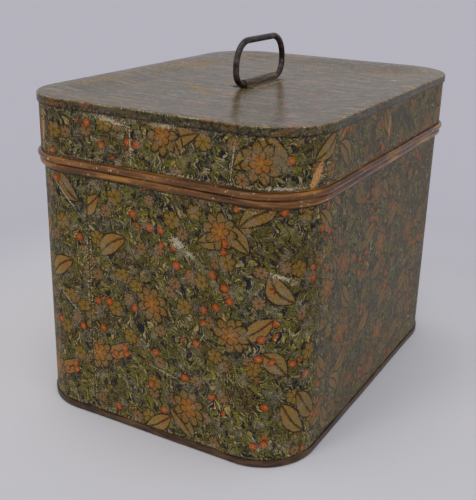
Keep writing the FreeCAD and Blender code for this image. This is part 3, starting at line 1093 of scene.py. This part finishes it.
@dataclass(frozen=True)
class MetalFinish:
    """Worked sheet or wire with streaks along it, and spots where the top coat has gone.

    Colours run from the hollows to the worn crests; spots show the metal or rust under the coat.
    """

    name: str
    colours: tuple[str, str, str]
    spot: str
    rough: Point
    metallic: float
    streak: Point
    spot_size: float
    spot_share: float
    mapped: bool = True
    bump_depth: float = 0.15
    gloss: float = 0.5
    lining: "MetalFinish | None" = None
    levels: tuple[float, float, float] = (0.34, 0.5, 0.68)
    bump: float = 0.5
    spot_edge: float = 0.04
    spot_cover: float = 0.9
    spot_depth: float = -0.5

    def material(self) -> Material:
        """Build the material.

        Returns:
            The material, which follows the sheet's own map or lies in the trunk's space.
        """
        paint = Painter(self.name)
        colour, rough, height = self.surface(paint)
        metallic: float | Socket = self.metallic
        if self.lining:
            lined = paint.add("Attribute", out="Fac", attribute_name="lined")
            inner_colour, inner_rough, inner_height = self.lining.surface(paint)
            colour = paint.coat(colour, inner_colour, lined)
            rough = paint.add("Mix", [lined, None, rough, inner_rough])
            height = paint.add("Mix", [lined, None, height, inner_height])
            metallic = paint.add("MapRange", [lined, 0.0, 1.0, self.metallic, self.lining.metallic])
        return paint.seal(self.bump, self.bump_depth, height, Base_Color=colour, Roughness=rough,
                          Metallic=metallic, Specular_IOR_Level=self.gloss)

    def surface(self, paint: Painter) -> tuple[Socket, Socket, Socket]:
        """Lay streaks and spots.

        Args:
            paint: Painter of the material.

        Returns:
            Colour, roughness and height.
        """
        add = paint.add
        body = add("VectorMath", {0: add("TexCoord", out="Object"), "Scale": 1 / MM}, operation="SCALE")
        flow = paint.place("place") if self.mapped else body
        along, across = self.streak
        flow = add("Mapping", [flow, None, None, (1 / along, 1 / across, 1 / across)])
        streaks = add("TexNoise", {"Vector": flow, "Scale": 1.0, "Detail": 3.0, "Roughness": 0.6})
        colour = add("ValToRGB", [streaks], stops=list(zip(self.levels, self.colours)))
        spots = add("TexNoise", {"Vector": body, "Scale": 1 / self.spot_size, "Detail": 5.0, "Roughness": 0.7})
        # Level past which the noise covers a larger or smaller share of the surface.
        level = 0.78 - 0.3 * self.spot_share
        mask = add("MapRange", [spots, level, level + self.spot_edge, 0.0, self.spot_cover])
        colour = paint.coat(colour, self.spot, mask)
        rough = add("MapRange", [streaks, 0.3, 0.7, *self.rough])
        return colour, rough, add("Math", [mask, self.spot_depth, streaks], operation="MULTIPLY_ADD")


SIDE_SCARS = (
    Scar(Wear.CREAM_PAPER, 32, 208, 8, 5.0, -25, 0.5),
    Scar(Wear.CREAM_PAPER, 45, 200, 8, 2.6, -32, 1.0),
    Scar(Wear.GREY_RUB, 58, 190, 11, 3.4, -40, 1.2),
    Scar(Wear.PALE_SCRATCH, -97, 233, 27, 0.7, -45, 0.5),
    Scar(Wear.PALE_SCRATCH, -98, 123, 18, 0.7, -40, 0.5),
    Scar(Wear.PALE_SCRATCH, -65, 204, 4, 1.2, -30, 0.4),
    Scar(Wear.CREAM_PAPER, 134, 192, 11, 1.8, -18, 0.9),
    Scar(Wear.PALE_SCRATCH, -16, 292, 22, 0.6, 91, 0.7),
    Scar(Wear.PALE_SCRATCH, 88.6, 293, 21, 0.5, 84, 0.7),
    Scar(Wear.TAN_UNDERLAY, 161, 281, 14, 4.6, 62, 0.35),
    Scar(Wear.TAN_UNDERLAY, -122, 292, 16, 2.6, 84, 0.9),
    Scar(Wear.GREY_RUB, 128, 297, 9, 11, 10, 0.4),
    Scar(Wear.CREAM_PAPER, -38, 311, 13, 2.6, -8, 1.3),
    Scar(Wear.CREAM_PAPER, 20, 313.5, 10, 1.6, 2, 1.2),
    Scar(Wear.TAN_UNDERLAY, 319, 292, 14, 1.6, 88, 0.6),
    Scar(Wear.CREAM_PAPER, 132, 272.4, 11, 1.6, 0, 1.2),
    Scar(Wear.PALE_SCRATCH, 58, 120, 9, 0.6, 62, 0.8),
    Scar(Wear.PALE_SCRATCH, 15, 74, 12, 0.6, -12, 0.9),
    Scar(Wear.PALE_SCRATCH, 300, 170, 16, 0.6, 78, 0.8),
)

TOP_SCARS = (
    Scar(Wear.CREAM_PAPER, 114.6, 97.7, 3.5, 2.4, 20, 0.4),
    Scar(Wear.OCHRE_STREAK, -43, -160, 9, 2.0, 37, 0.9),
    Scar(Wear.OCHRE_STREAK, -38, -64, 24, 4.0, -34, 1.3),
    Scar(Wear.OCHRE_STREAK, -12, -88, 14, 2.6, -12, 1.3),
    Scar(Wear.OCHRE_STREAK, -120, 66, 36, 6.0, 76, 1.5),
    Scar(Wear.GREY_RUB, -131, 20, 22, 3.0, 104, 1.6),
    Scar(Wear.OCHRE_STREAK, -134, -104, 20, 4.0, 82, 1.5),
    Scar(Wear.OCHRE_STREAK, -64, -188, 26, 4.0, 6, 1.5),
    Scar(Wear.OCHRE_STREAK, 96, 150, 30, 5.0, 24, 1.5),
    Scar(Wear.DARK_CREASE, 33, 106, 56, 0.7, 53.5, 0.4),
)

# Printed paper on the sides: soft amber gloss over deep green and navy, dull and greyed on the long sides by a
# film that is part dust and part painted sheen.
SIDE_PAPER = PrintedPaper("printed_paper_varnished", SIDE_SCARS, film_and_sheen="#5A5146")
# The same paper on the top: the print just shows through dust, which hands have wiped to a low shine.
TOP_PAPER = PrintedPaper("printed_paper_varnished_dusty", TOP_SCARS, dust=0.66, fold=7.8, gloss=0.27,
                         rough=(0.2, 0.34))

# Tinned sheet that has stood open to the air: grey, with brown tarnish.
TARNISHED_TIN = MetalFinish("tinplate_tarnished", ("#5A544C", "#7C766C", "#948E84"), "#5E4630", (0.35, 0.6), 0.85,
                            (40.0, 18.0), 14.0, 0.45, False, 0.08)
# Brown japan, a baked lacquer brushed along the seams: warm, glossy, with streaks and small chips. The
# inside was left as bare tinplate.
JAPAN = MetalFinish("japanned_tin_brown", ("#442A12", "#6E451E", "#AA7632"), "#DCC69C", (0.14, 0.3), 0.0,
                    (60.0, 8.0), 4.0, 0.5, gloss=0.34, lining=TARNISHED_TIN)
# The same japan round the foot, in darker colours.
FOOT_JAPAN = MetalFinish("japanned_tin_dark", ("#261911", "#443020", "#664A30"), "#7A4A2A", (0.3, 0.5), 0.0,
                         (30.0, 6.0), 5.0, 0.44, gloss=0.3, lining=TARNISHED_TIN)
# Wrought iron wire, dark with old oil and polished by hands on its crests.
HANDLE_IRON = MetalFinish("iron_hand_worn", ("#181210", "#302622", "#5A4A40"), "#8A7A5C", (0.28, 0.5), 0.4,
                          (11.0, 11.0), 9.0, 0.42, False, 0.12)
# Drawn iron wire inside the lid's curl.
IRON_WIRE = MetalFinish("iron_wire_drawn", ("#2A2522", "#48413B", "#655C54"), "#5E4230", (0.4, 0.6), 0.7,
                        (30.0, 8.0), 6.0, 0.4, False, 0.08)
# Thick tinned strap, browned by old lacquer, with rust where it has rubbed through.
STRAP_TIN = MetalFinish("strap_tin_dulled", ("#2A2018", "#4E402E", "#7E6A44"), "#6A3C24", (0.4, 0.62), 0.15,
                        (18.0, 2.2), 5.0, 0.45, True, 0.1)
# Soft solder, run in along the strap and gone dull.
SOFT_SOLDER = MetalFinish("soft_solder_dull", ("#4A3E2C", "#7A6A4A", "#B0A078"), "#3E3222", (0.45, 0.65), 0.2,
                          (7.0, 2.0), 3.0, 0.5, True, 0.15)


@dataclass(frozen=True)
class Stock:
    """Sheet that the trunk is folded from, and the corners that it is bent to."""

    corner: float = 56.0
    tin: float = 0.5
    layer_gap: float = 0.05
    paper: float = 0.3
    paper_step: float = 9.0
    wave_height: float = 0.35
    wave_length: float = 95.0
    lock_reach: float = 4.0
    level_step: float = 0.1

    @property
    def half(self) -> float:
        """Half of the tin's thickness."""
        return self.tin / 2

    @property
    def layer(self) -> float:
        """Step from one folded sheet to the next."""
        return self.tin + self.layer_gap


STOCK = Stock()


def side_outline() -> Outline:
    """Plan of the body, from the frame's side papers."""
    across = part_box("body_paper_right")[1].x / MM - STOCK.paper
    along = -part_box("body_paper_front")[0].y / MM - STOCK.paper
    return Outline(across, along, STOCK.corner)


class SheetWork:
    """Shared workshop: the outline, the trees and the finishes that sheets are formed with."""

    def __init__(self) -> None:
        """Set up the outline, the trees and the finishes."""
        self.outline = side_outline()
        self.laps = LapTree()
        self.wires = WireTree()
        self.side_paper = SIDE_PAPER.material()
        self.top_paper = TOP_PAPER.material()
        self.japan = JAPAN.material()
        self.foot_japan = FOOT_JAPAN.material()
        self.tinplate = TARNISHED_TIN.material()
        self.handle_iron = HANDLE_IRON.material()
        self.iron_wire = IRON_WIRE.material()
        self.strap_tin = STRAP_TIN.material()
        self.solder = SOFT_SOLDER.material()

    def lap(self, name: str, section: Section, start: float, end: float, finish: Material,
            print_shift: Point = (0.0, 0.0)) -> Piece:
        """Carry a section along part of the outline.

        Args:
            name: Name of the piece.
            section: Its section.
            start: Lap where it starts.
            end: Lap where it ends.
            finish: Its material.
            print_shift: How far its print is moved along and up.

        Returns:
            The piece.
        """
        return self.along(name, section, self.outline.path(start, end), start, finish, print_shift,
                          STOCK.wave_height)

    def along(self, name: str, section: Section, path: Sequence[Point], start: float, finish: Material,
              print_shift: Point = (0.0, 0.0), wave: float = 0.0, wobble: float = 0.0,
              wobble_length: float = 10.0) -> Piece:
        """Carry a section along a path in plan.

        Args:
            name: Name of the piece.
            section: Its section.
            path: Points in plan, with the section's offset to their right.
            start: Lap of the path's start.
            finish: The piece's material.
            print_shift: How far its print is moved along and up.
            wave: Height of broad waves.
            wobble: Reach of small unevenness.
            wobble_length: Length of small unevenness.

        Returns:
            The piece.
        """
        path_line = line_object(name + "_path", [(x * MM, y * MM) for x, y in path], False)
        # A profile's second axis points down along a path that is walked with the outside on its right.
        section_line = line_object(name + "_section", [(u * MM, -v * MM) for u, v in section.points],
                                   section.closed)
        piece = self.laps.run(
            name, Path=path_line, Section=section_line, Lap_Start=start * MM,
            Ring=float(math.dist(path[0], path[-1]) < STOCK.tin), Rise_Start=section.rise_start * MM,
            Low_Edge=section.edges[0] * MM, High_Edge=section.edges[1] * MM, Flat_From=section.flat_from * MM,
            Lined_From=section.lined[0] * MM, Lined_To=section.lined[1] * MM,
            Print_Shift=(print_shift[0] * MM, print_shift[1] * MM, 0.0), Wave_Height=wave * MM,
            Wave_Length=STOCK.wave_length * MM, Wobble=wobble * MM, Wobble_Length=wobble_length * MM,
            Finish=finish)
        shade(piece)
        return piece

    def locked_halves(self, name: str, section: Section, middle: float, low: float, high: float,
                      body: Body) -> None:
        """Form the front and back of a shell, hooked into each other in the middle of the long sides.

        Args:
            name: First part of the halves' names.
            section: Section of the shell.
            middle: Offset of the wall's middle.
            low: Lower end of the lock seams.
            high: Upper end of the lock seams.
            body: Body that the halves ride on.
        """
        layer = STOCK.layer
        reach = STOCK.lock_reach
        meet = self.outline.right_lap(reach)
        side = self.outline.half_width + middle
        strip = [(STOCK.half, low), (STOCK.half, high), (-STOCK.half, high), (-STOCK.half, low)]
        hooks = {"front": [(0, reach), (2, reach), (2, layer - reach)],
                 "back": [(0, reach + layer), (3, reach + layer), (3, -reach), (1, -reach), (1, reach - layer)]}
        butt = meet + layer / 2
        spans = {"front": (-butt, butt), "back": (butt, self.outline.girth() - butt)}
        for half, hook in hooks.items():
            piece = self.lap(f"{name}_{half}", section, *spans[half], self.japan)
            folds = [self.along(f"{name}_{half}_lock", Section(strip, lined=(-FAR, FAR)),
                                [(sign * (side - depth * layer), y) for depth, y in hook], 0.0, self.japan)
                     for sign in (-1, 1)]
            join([piece, *folds])
            hand_in(piece, body, Slot.JAPANNED_TIN, f"{name}_{half}")

    def wrap_papers(self, name: str, body: Body, offset: float, reaches: Point, shifts: Sequence[Point]) -> None:
        """Form four papers round the corners of the body or the lid.

        Args:
            name: First part of the pieces' names.
            body: Body that they ride on.
            offset: Offset of the tin's outside.
            reaches: Reach past the corner on the short sides and on the long sides.
            shifts: Shift of each paper's print.
        """
        outline = self.outline
        low, high = (corner.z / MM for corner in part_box(f"{name}_front"))
        short = outline.half_width - outline.corner - reaches[0]
        long = outline.half_depth - outline.corner - reaches[1]
        half = outline.girth() / 2
        first, second = -short, outline.right_lap(-long)
        spans = [(first, second), (second, first + half), (first + half, second + half), (second - half, first)]
        steps = math.ceil((high - low) / STOCK.paper_step)
        face = [(offset + STOCK.paper, low + (high - low) * k / steps) for k in range(steps + 1)]
        section = Section(face + [(offset, high), (offset, low)], True, low, (low, high))
        for side, span, shift in zip(("front", "right", "back", "left"), spans, shifts):
            piece = self.lap(f"{name}_{side}_print", section, *span, self.side_paper, shift)
            hand_in(piece, body, Slot.PRINTED_PAPER, f"{name}_{side}")

    def fill_panel(self, piece: Piece, hole: Point | None = None) -> None:
        """Close a dished piece's two open rims with flat panels.

        Args:
            piece: Piece from an open section.
            hole: Half sizes of a rectangular opening in the middle, if it has one.
        """
        made = bmesh.new()
        made.from_mesh(piece.data)
        maps = [made.loops.layers.uv[name] for name in ("place", "print")]
        rise = made.verts.layers.float["rise"]
        level = STOCK.level_step * MM
        rims: dict[int, list[bmesh.types.BMEdge]] = {}
        for edge in made.edges:
            if edge.is_boundary:
                rims.setdefault(round(edge.verts[0].co.z / level), []).append(edge)
        holes = []
        for rim in rims.values():
            height = rim[0].verts[0].co.z
            if hole:
                ring = [made.verts.new((x * hole[0] * MM, y * hole[1] * MM, height))
                        for x, y in ((-1, -1), (1, -1), (1, 1), (-1, 1))]
                for corner in ring:
                    corner[rise] = rim[0].verts[0][rise]
                rim = rim + [made.edges.new((a, b)) for a, b in zip(ring, ring[1:] + ring[:1])]
                holes.append(ring)
            filled = bmesh.ops.triangle_fill(made, edges=rim, use_beauty=True, normal=(0, 0, 1))
            for face in filled["geom"]:
                if isinstance(face, bmesh.types.BMFace):
                    for loop in face.loops:
                        for layer in maps:
                            loop[layer].uv = loop.vert.co.xy
        if hole:
            low, high = holes
            for i in range(len(low)):
                made.faces.new((low[i - 1], low[i], high[i], high[i - 1]))
        made.to_mesh(piece.data)
        made.free()
        shade(piece)


@dataclass
class TrunkBody:
    """Folded body: two wall halves, the hooked bottom and four side papers."""

    work: SheetWork
    foot_seam_height: float = 5.5
    foot_bend: float = 1.2
    foot_margin: float = 20.0
    bead_bend: float = 3.6
    bead_root_bend: float = 1.1
    neck_height: float = 44.0
    hem_width: float = 6.0
    lock_end_gap: float = 4.0
    paper_edge_gap: float = 0.4
    paper_reaches: Point = (24.0, 31.0)
    print_shifts: tuple[Point, ...] = ((0, 0), (41, 17), (23, 52), (64, 35))
    wall: float = field(init=False)
    foot_fold: float = field(init=False)
    foot_cap: float = field(init=False)
    bead_height: float = field(init=False)

    def __post_init__(self) -> None:
        """Work out the folds' places, the bead's from the frame."""
        self.wall = -STOCK.half
        self.foot_fold = STOCK.layer + STOCK.half
        self.foot_cap = self.foot_fold + self.foot_seam_height + STOCK.layer
        paper_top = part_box("body_paper_front")[1].z / MM
        self.bead_height = paper_top + self.paper_edge_gap + self.bead_bend + self.bead_root_bend

    def build(self) -> None:
        """Form and hand in every piece of the body."""
        self.walls()
        self.bottom()
        self.papers()

    def wall_section(self) -> Section:
        """Section of a wall, from the hook in the foot seam to the hemmed mouth."""
        layer = STOCK.layer
        bead_out = self.wall + self.bead_root_bend + self.bead_bend
        low = self.bead_height - self.bead_bend
        high = self.bead_height + self.bead_bend
        mouth = self.bead_height + self.neck_height - STOCK.half
        corners = [
            (self.wall + 2 * layer, self.foot_fold + self.foot_seam_height, 0),
            (self.wall + 2 * layer, self.foot_fold, self.foot_bend - layer), (self.wall, self.foot_fold, 0),
            (self.wall, low, self.bead_root_bend), (bead_out, low, self.bead_bend),
            (bead_out, high, self.bead_bend), (self.wall, high, self.bead_root_bend), (self.wall, mouth, 0),
            (self.wall - layer, mouth, 0), (self.wall - layer, mouth - self.hem_width, 0)]
        neck = self.hem_width + self.neck_height - self.bead_bend + 2 * self.bead_root_bend
        return Section.of_sheet(corners, -STOCK.half, STOCK.half, covered=neck)

    def walls(self) -> None:
        """Form the front and back halves, which meet at the middle of the long sides."""
        low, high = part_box("body_paper_front")
        inset = self.lock_end_gap - self.paper_edge_gap
        self.work.locked_halves("body_wall", self.wall_section(), self.wall, low.z / MM + inset,
                                high.z / MM - inset, Body.TRUNK)

    def bottom(self) -> None:
        """Form the bottom plate with its rim hooked over the walls' foot fold."""
        rim = self.wall + 3 * STOCK.layer
        corners = [(-self.foot_margin, STOCK.half, 0), (rim, STOCK.half, self.foot_bend),
                   (rim, self.foot_cap, 0), (rim - 2 * STOCK.layer, self.foot_cap, 0),
                   (rim - 2 * STOCK.layer, self.foot_fold + STOCK.layer, 0)]
        section = Section.of_dish(corners, -STOCK.half, STOCK.half)
        piece = self.work.lap("body_bottom", section, 0, self.work.outline.girth(), self.work.foot_japan)
        self.work.fill_panel(piece)
        hand_in(piece, Body.TRUNK, Slot.JAPANNED_TIN, "body_bottom")

    def papers(self) -> None:
        """Form the four papers, each wrapped round one corner."""
        self.work.wrap_papers("body_paper", Body.TRUNK, 0.0, self.paper_reaches, self.print_shifts)


@dataclass
class TrunkLid:
    """Slip-on lid: two skirt halves curled round a wire, the dished top, papers, strap and solder."""

    work: SheetWork
    wire_diameter: float = 5.0
    wire_clearance: float = 0.05
    wire_set: float = 1.0
    neck_clearance: float = 0.4
    joggle_bend: float = 1.5
    rim_seam_height: float = 6.0
    rim_bend: float = 1.2
    rim_flat: float = 12.0
    sag: float = 4.0
    panel_corner: float = 4.0
    lock_end_gap: float = 4.0
    paper_reaches: Point = (12.0, 4.0)
    print_shifts: tuple[Point, ...] = ((12, 31), (55, 9), (34, 70), (71, 44))
    paper_edge_gap: float = 0.4
    paper_flat_start: float = 0.4
    strap_sheet: float = 1.0
    strap_foot_width: float = 8.0
    strap_foot_bend: float = 1.0
    strap_steps: int = 24
    strap_wobble: float = 0.25
    solder_leg: float = 1.2
    solder_fill: float = 0.45
    solder_wobble: float = 0.5
    solder_wobble_length: float = 5.0
    curl: float = field(init=False)
    wire_line: float = field(init=False)
    wire_height: float = field(init=False)
    skirt: float = field(init=False)
    rim_plate: float = field(init=False)

    def __post_init__(self) -> None:
        """Work out the curl and the rim, their heights from the frame."""
        self.curl = self.wire_diameter / 2 + self.wire_clearance + STOCK.half
        self.wire_line = self.neck_clearance + self.curl + STOCK.half
        self.skirt = self.wire_line - self.wire_set
        low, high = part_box("lid_wire")
        self.wire_height = (low.z + high.z) / 2 / MM
        self.rim_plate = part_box("lid_top")[1].z / MM - STOCK.half

    @property
    def rim_fold(self) -> float:
        """Height of the skirt's fold under the top."""
        return self.rim_plate - STOCK.layer

    @property
    def rim_cap(self) -> float:
        """Height of the top's hook under the skirt's fold."""
        return self.rim_fold - self.rim_seam_height - STOCK.layer

    @property
    def panel_edge(self) -> float:
        """Offset of the sunk panel's edge."""
        return self.panel_corner - self.work.outline.corner

    def build(self) -> None:
        """Form and hand in every piece of the lid."""
        self.skirts()
        self.top()
        self.papers()
        self.strap()
        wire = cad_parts["lid_wire"]
        wire.data.materials.clear()
        wire.data.materials.append(self.work.iron_wire)
        LOG.info("lid_wire keeps its CAD mesh inside the curl")

    def skirts(self) -> None:
        """Form the front and back halves of the skirt."""
        layer = STOCK.layer
        inner = self.wire_line - self.curl
        outer = self.wire_line + self.curl
        height = self.wire_height
        joggle = height + self.curl * math.sqrt(2) - self.wire_set
        corners = [
            (self.wire_line, height + self.curl, 0), (outer, height + self.curl, self.curl),
            (outer, height - self.curl, self.curl), (inner, height - self.curl, self.curl),
            (inner, height + self.curl * math.tan(math.pi / 8), self.curl),
            (self.skirt, joggle, self.joggle_bend),
            (self.skirt, self.rim_fold, 0), (self.skirt + 2 * layer, self.rim_fold, self.rim_bend - layer),
            (self.skirt + 2 * layer, self.rim_fold - self.rim_seam_height, 0)]
        curled = 1.5 * math.pi * (self.curl + STOCK.half)
        section = Section.of_sheet(corners, -STOCK.half, STOCK.half, curled)
        low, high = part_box("lid_paper_front")
        inset = self.lock_end_gap - self.paper_edge_gap
        self.work.locked_halves("lid_skirt", section, self.skirt, low.z / MM + inset, high.z / MM - inset,
                                Body.LID)

    def dish(self, end: Sequence[Corner]) -> list[Corner]:
        """Line of the top, from the sunk panel up a double curve to the rim.

        Args:
            end: Corners past the rim.

        Returns:
            All corners.
        """
        start = self.skirt - self.rim_flat
        run = start - self.panel_edge
        tangent = (run ** 2 + self.sag ** 2) / (4 * run)
        slope = math.atan2(self.sag / 2, run / 2 - tangent)
        bend = tangent / math.tan(slope / 2)
        low = self.rim_plate - self.sag
        rim = self.skirt + 3 * STOCK.layer
        return [(self.panel_edge, low, 0), (self.panel_edge + tangent, low, bend),
                (start - tangent, self.rim_plate, bend), (rim, self.rim_plate, self.rim_bend), *end]

    def top(self) -> None:
        """Form the tin top and the paper over it."""
        rim = self.skirt + 3 * STOCK.layer
        girth = self.work.outline.girth()
        hook = [(rim, self.rim_cap, 0), (rim - 2 * STOCK.layer, self.rim_cap, 0),
                (rim - 2 * STOCK.layer, self.rim_fold - STOCK.layer, 0)]
        section = Section.of_dish(self.dish(hook), -STOCK.half, STOCK.half)
        plate = self.work.lap("lid_top_plate", section, girth / 2, 1.5 * girth, self.work.tinplate)
        self.work.fill_panel(plate)
        hand_in(plate, Body.LID, Slot.JAPANNED_TIN, "lid_top")
        edge = [(rim, self.rim_cap - STOCK.half, 0)]
        flat_from = TOP_PAPER.fold + self.paper_flat_start
        sheet = Section.of_dish(self.dish(edge), STOCK.half, STOCK.half + STOCK.paper, flat_from)
        paper = self.work.lap("lid_paper_top_print", sheet, girth / 2, 1.5 * girth, self.work.top_paper)
        _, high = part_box("handle_strap")
        reach = high.x / MM + self.solder_leg + self.paper_edge_gap
        self.work.fill_panel(paper, (reach, high.y / MM + self.paper_edge_gap))
        hand_in(paper, Body.LID, Slot.PRINTED_PAPER, "lid_paper_top")

    def papers(self) -> None:
        """Form the four papers round the skirt."""
        self.work.wrap_papers("lid_paper", Body.LID, self.skirt + STOCK.half, self.paper_reaches,
                              self.print_shifts)

    def strap(self) -> None:
        """Roll the strap over the handle's bar and run solder along its feet."""
        low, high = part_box("handle_strap")
        foot = low.z / MM + self.strap_sheet / 2
        crown = high.z / MM - self.strap_sheet / 2
        reach = high.x / MM
        half = high.y / MM
        roll = reach - self.strap_foot_width - self.strap_sheet / 2
        corners = [(-reach, foot, 0), (-roll, foot, self.strap_foot_bend), (-roll, crown, roll),
                   (roll, crown, roll), (roll, foot, self.strap_foot_bend), (reach, foot, 0)]
        section = Section.of_sheet(corners, -self.strap_sheet / 2, self.strap_sheet / 2)
        path = [(0.0, -half + 2 * half * k / self.strap_steps) for k in range(self.strap_steps + 1)]
        strap = self.work.along("handle_strap_rolled", section, path, 0.0, self.work.strap_tin,
                                wobble=self.strap_wobble)
        hand_in(strap, Body.LID, Slot.STRAP_TIN, "handle_strap")
        base = low.z / MM
        solder = []
        for side in (-1, 1):
            hollow = (reach + self.solder_fill * self.solder_leg, base + self.solder_fill * self.strap_sheet)
            fillet = [(side * u, v) for u, v in ((reach, base), (reach + self.solder_leg, base), hollow,
                                                 (reach, base + self.strap_sheet))]
            solder.append(self.work.along(
                f"strap_solder_{side + 1}", Section(fillet), path, 0.0, self.work.solder,
                wobble=self.solder_wobble, wobble_length=self.solder_wobble_length))
        join(solder)
        solder[0].name = "strap_solder_run"
        hand_in(solder[0], Body.LID, Slot.SOLDER, "strap_solder")


@dataclass
class RingHandle:
    """Ring of round iron wire whose bar turns in the strap."""

    work: SheetWork
    foot_bend: float = 14.5
    limb: float = 5.0
    pit: float = 0.22
    pit_length: float = 6.0
    step: float = 1.6
    turn_step: float = 5.0
    sharp: float = 70.0

    def build(self) -> None:
        """Draw the ring along its own outline and hand it in."""
        low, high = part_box("handle_ring")
        wire = (high.x - low.x) / MM
        half = high.y / MM - wire / 2
        bar = low.z / MM + wire / 2
        top = high.z / MM - wire / 2
        top_bend = top - bar - self.foot_bend - self.limb
        corners = [(0, bar, 0), (half, bar, self.foot_bend), (half, top, top_bend), (-half, top, top_bend),
                   (-half, bar, self.foot_bend), (0, bar, 0)]
        points = bent_line(corners, 0.0, math.radians(self.turn_step))[:-1]
        even: list[Point] = []
        for a, b in zip(points, points[1:] + points[:1]):
            count = max(1, round(math.dist(a, b) / self.step))
            even += [(a[0] + (b[0] - a[0]) * k / count, a[1] + (b[1] - a[1]) * k / count) for k in range(count)]
        path = line_object("handle_path", [(0.0, y * MM, z * MM) for y, z in even], True)
        ring = self.work.wires.run("handle_ring_iron", Path=path, Diameter=wire * MM, Pit=self.pit * MM,
                                   Pit_Length=self.pit_length * MM, Finish=self.work.handle_iron)
        shade(ring, self.sharp)
        hand_in(ring, Body.HANDLE, Slot.HANDLE_IRON, "handle_ring")

@dataclass(frozen=True)
class Lamp:
    """A soft lamp: its angles round the trunk and its spread in degrees, strength and colour."""

    name: str
    azimuth: float
    elevation: float
    spread: float
    strength: float
    colour: str


@dataclass
class Studio:
    """Pale floor with painted falloff of the light away from the trunk, soft light and a camera at the
    photograph's viewing angle.
    """

    image_width: int = 476
    image_height: int = 500
    azimuth: float = 29.095
    elevation: float = 20.586
    roll: float = 1.41
    distance: float = 920.2
    target: tuple[float, float, float] = (0.1, -38.1, 142.0)
    focal_pixels: float = 832.6
    sensor: float = 36.0
    clip: Point = (0.05, 60.0)
    sky: str = "#FFFFFF"
    sky_strength: float = 0.58
    backdrop: str = "#B2B1BA"
    floor: str = "#CAC9CD"
    # The floor's far colour and the ramp to it paint the light's falloff away from the trunk.
    floor_far_shade: str = "#AEADB6"
    floor_shade_turn: Ramp = (0.2, 0.62, 0.0, 1.0)
    floor_rough: float = 0.9
    floor_gloss: float = 0.1
    floor_half: float = 9.0
    floor_drop: float = 0.4
    lamps: tuple[Lamp, ...] = (
        Lamp("key", -26, 68, 100, 0.89, "#FFFCF6"),
        Lamp("glint", -22, 50, 14, 0.34, "#FFF8EC"),
        Lamp("fill", 70, 38, 100, 0.71, "#DCE6FF"),
        Lamp("back", 205, 50, 90, 0.2, "#FFFFFF"),
    )

    def build(self) -> None:
        """Set up the camera, the floor, the world and the lamps."""
        self.camera()
        self.ground()
        self.world()
        for lamp in self.lamps:
            self.light(lamp)
        bpy.context.scene.view_settings.view_transform = "Standard"

    @staticmethod
    def towards(azimuth: float, elevation: float) -> Vector:
        """Way from the object to a place round it, in degrees."""
        a, e = math.radians(azimuth), math.radians(elevation)
        return Vector((math.sin(a) * math.cos(e), -math.cos(a) * math.cos(e), math.sin(e)))

    def camera(self) -> None:
        """Place the camera by its angles and distance."""
        data = bpy.data.cameras.new("camera")
        data.sensor_width = self.sensor
        data.lens = self.focal_pixels * self.sensor / max(self.image_width, self.image_height)
        data.clip_start, data.clip_end = self.clip
        back = self.towards(self.azimuth, self.elevation)
        tilt = Quaternion((0, 0, 1), math.radians(self.roll))
        camera = put_in("camera", data)
        camera.location = (Vector(self.target) + back * self.distance) * MM
        camera.rotation_mode = "QUATERNION"
        camera.rotation_quaternion = (-back).to_track_quat("-Z", "Y") @ tilt
        bpy.context.scene.camera = camera

    def ground(self) -> None:
        """Lay the floor."""
        mesh = bpy.data.meshes.new("floor")
        signs = ((-1, -1), (1, -1), (1, 1), (-1, 1))
        drop = -self.floor_drop * MM
        mesh.from_pydata([(x * self.floor_half, y * self.floor_half, drop) for x, y in signs], [], [(0, 1, 2, 3)])
        # Matt backdrop paper with painted falloff of the light: it turns greyer away from the trunk.
        paint = Painter("backdrop_paper_painted_falloff")
        away = paint.add("VectorMath", [paint.add("TexCoord", out="Object")], "Value", operation="LENGTH")
        share = paint.add("MapRange", [away, *self.floor_shade_turn], interpolation_type="SMOOTHSTEP")
        colour = paint.coat(self.floor, self.floor_far_shade, share)
        shader = paint.add("BsdfPrincipled", {"Base Color": colour, "Roughness": self.floor_rough,
                                              "Specular IOR Level": self.floor_gloss})
        paint.add("OutputMaterial", [shader])
        mesh.materials.append(paint.material)
        put_in("floor", mesh)

    def world(self) -> None:
        """Light with a soft world, which the camera and gloss see as the backdrop."""
        world = bpy.data.worlds.new("studio")
        world.use_nodes = True
        tree = world.node_tree
        tree.nodes.clear()
        rays = tree.nodes.new("ShaderNodeLightPath").outputs
        seen = rays["Is Camera Ray"]
        for kind in ("Is Glossy Ray", "Is Transmission Ray"):
            seen = add_node(tree, "ShaderNodeMath", [seen, rays[kind]], operation="MAXIMUM")
        sky = add_node(tree, "ShaderNodeBackground", [linear(self.sky), self.sky_strength])
        backdrop = add_node(tree, "ShaderNodeBackground", [linear(self.backdrop), 1.0])
        add_node(tree, "ShaderNodeOutputWorld", [add_node(tree, "ShaderNodeMixShader", [seen, sky, backdrop])])
        bpy.context.scene.world = world

    def light(self, lamp: Lamp) -> None:
        """Hang one lamp, turned to the trunk."""
        data = bpy.data.lights.new(lamp.name, "SUN")
        data.color = linear(lamp.colour)[:3]
        data.angle = math.radians(lamp.spread)
        data.energy = lamp.strength
        way = self.towards(lamp.azimuth, lamp.elevation)
        hung = put_in(lamp.name, data)
        hung.location = way
        hung.rotation_mode = "QUATERNION"
        hung.rotation_quaternion = (-way).to_track_quat("-Z", "Y")


def main() -> None:
    """Build the studio, then each sub-assembly."""
    logging.basicConfig(level=logging.INFO, format="%(name)s: %(message)s")
    Studio().build()
    work = SheetWork()
    TrunkBody(work).build()
    TrunkLid(work).build()
    RingHandle(work).build()


if __name__ == "__main__":
    main()
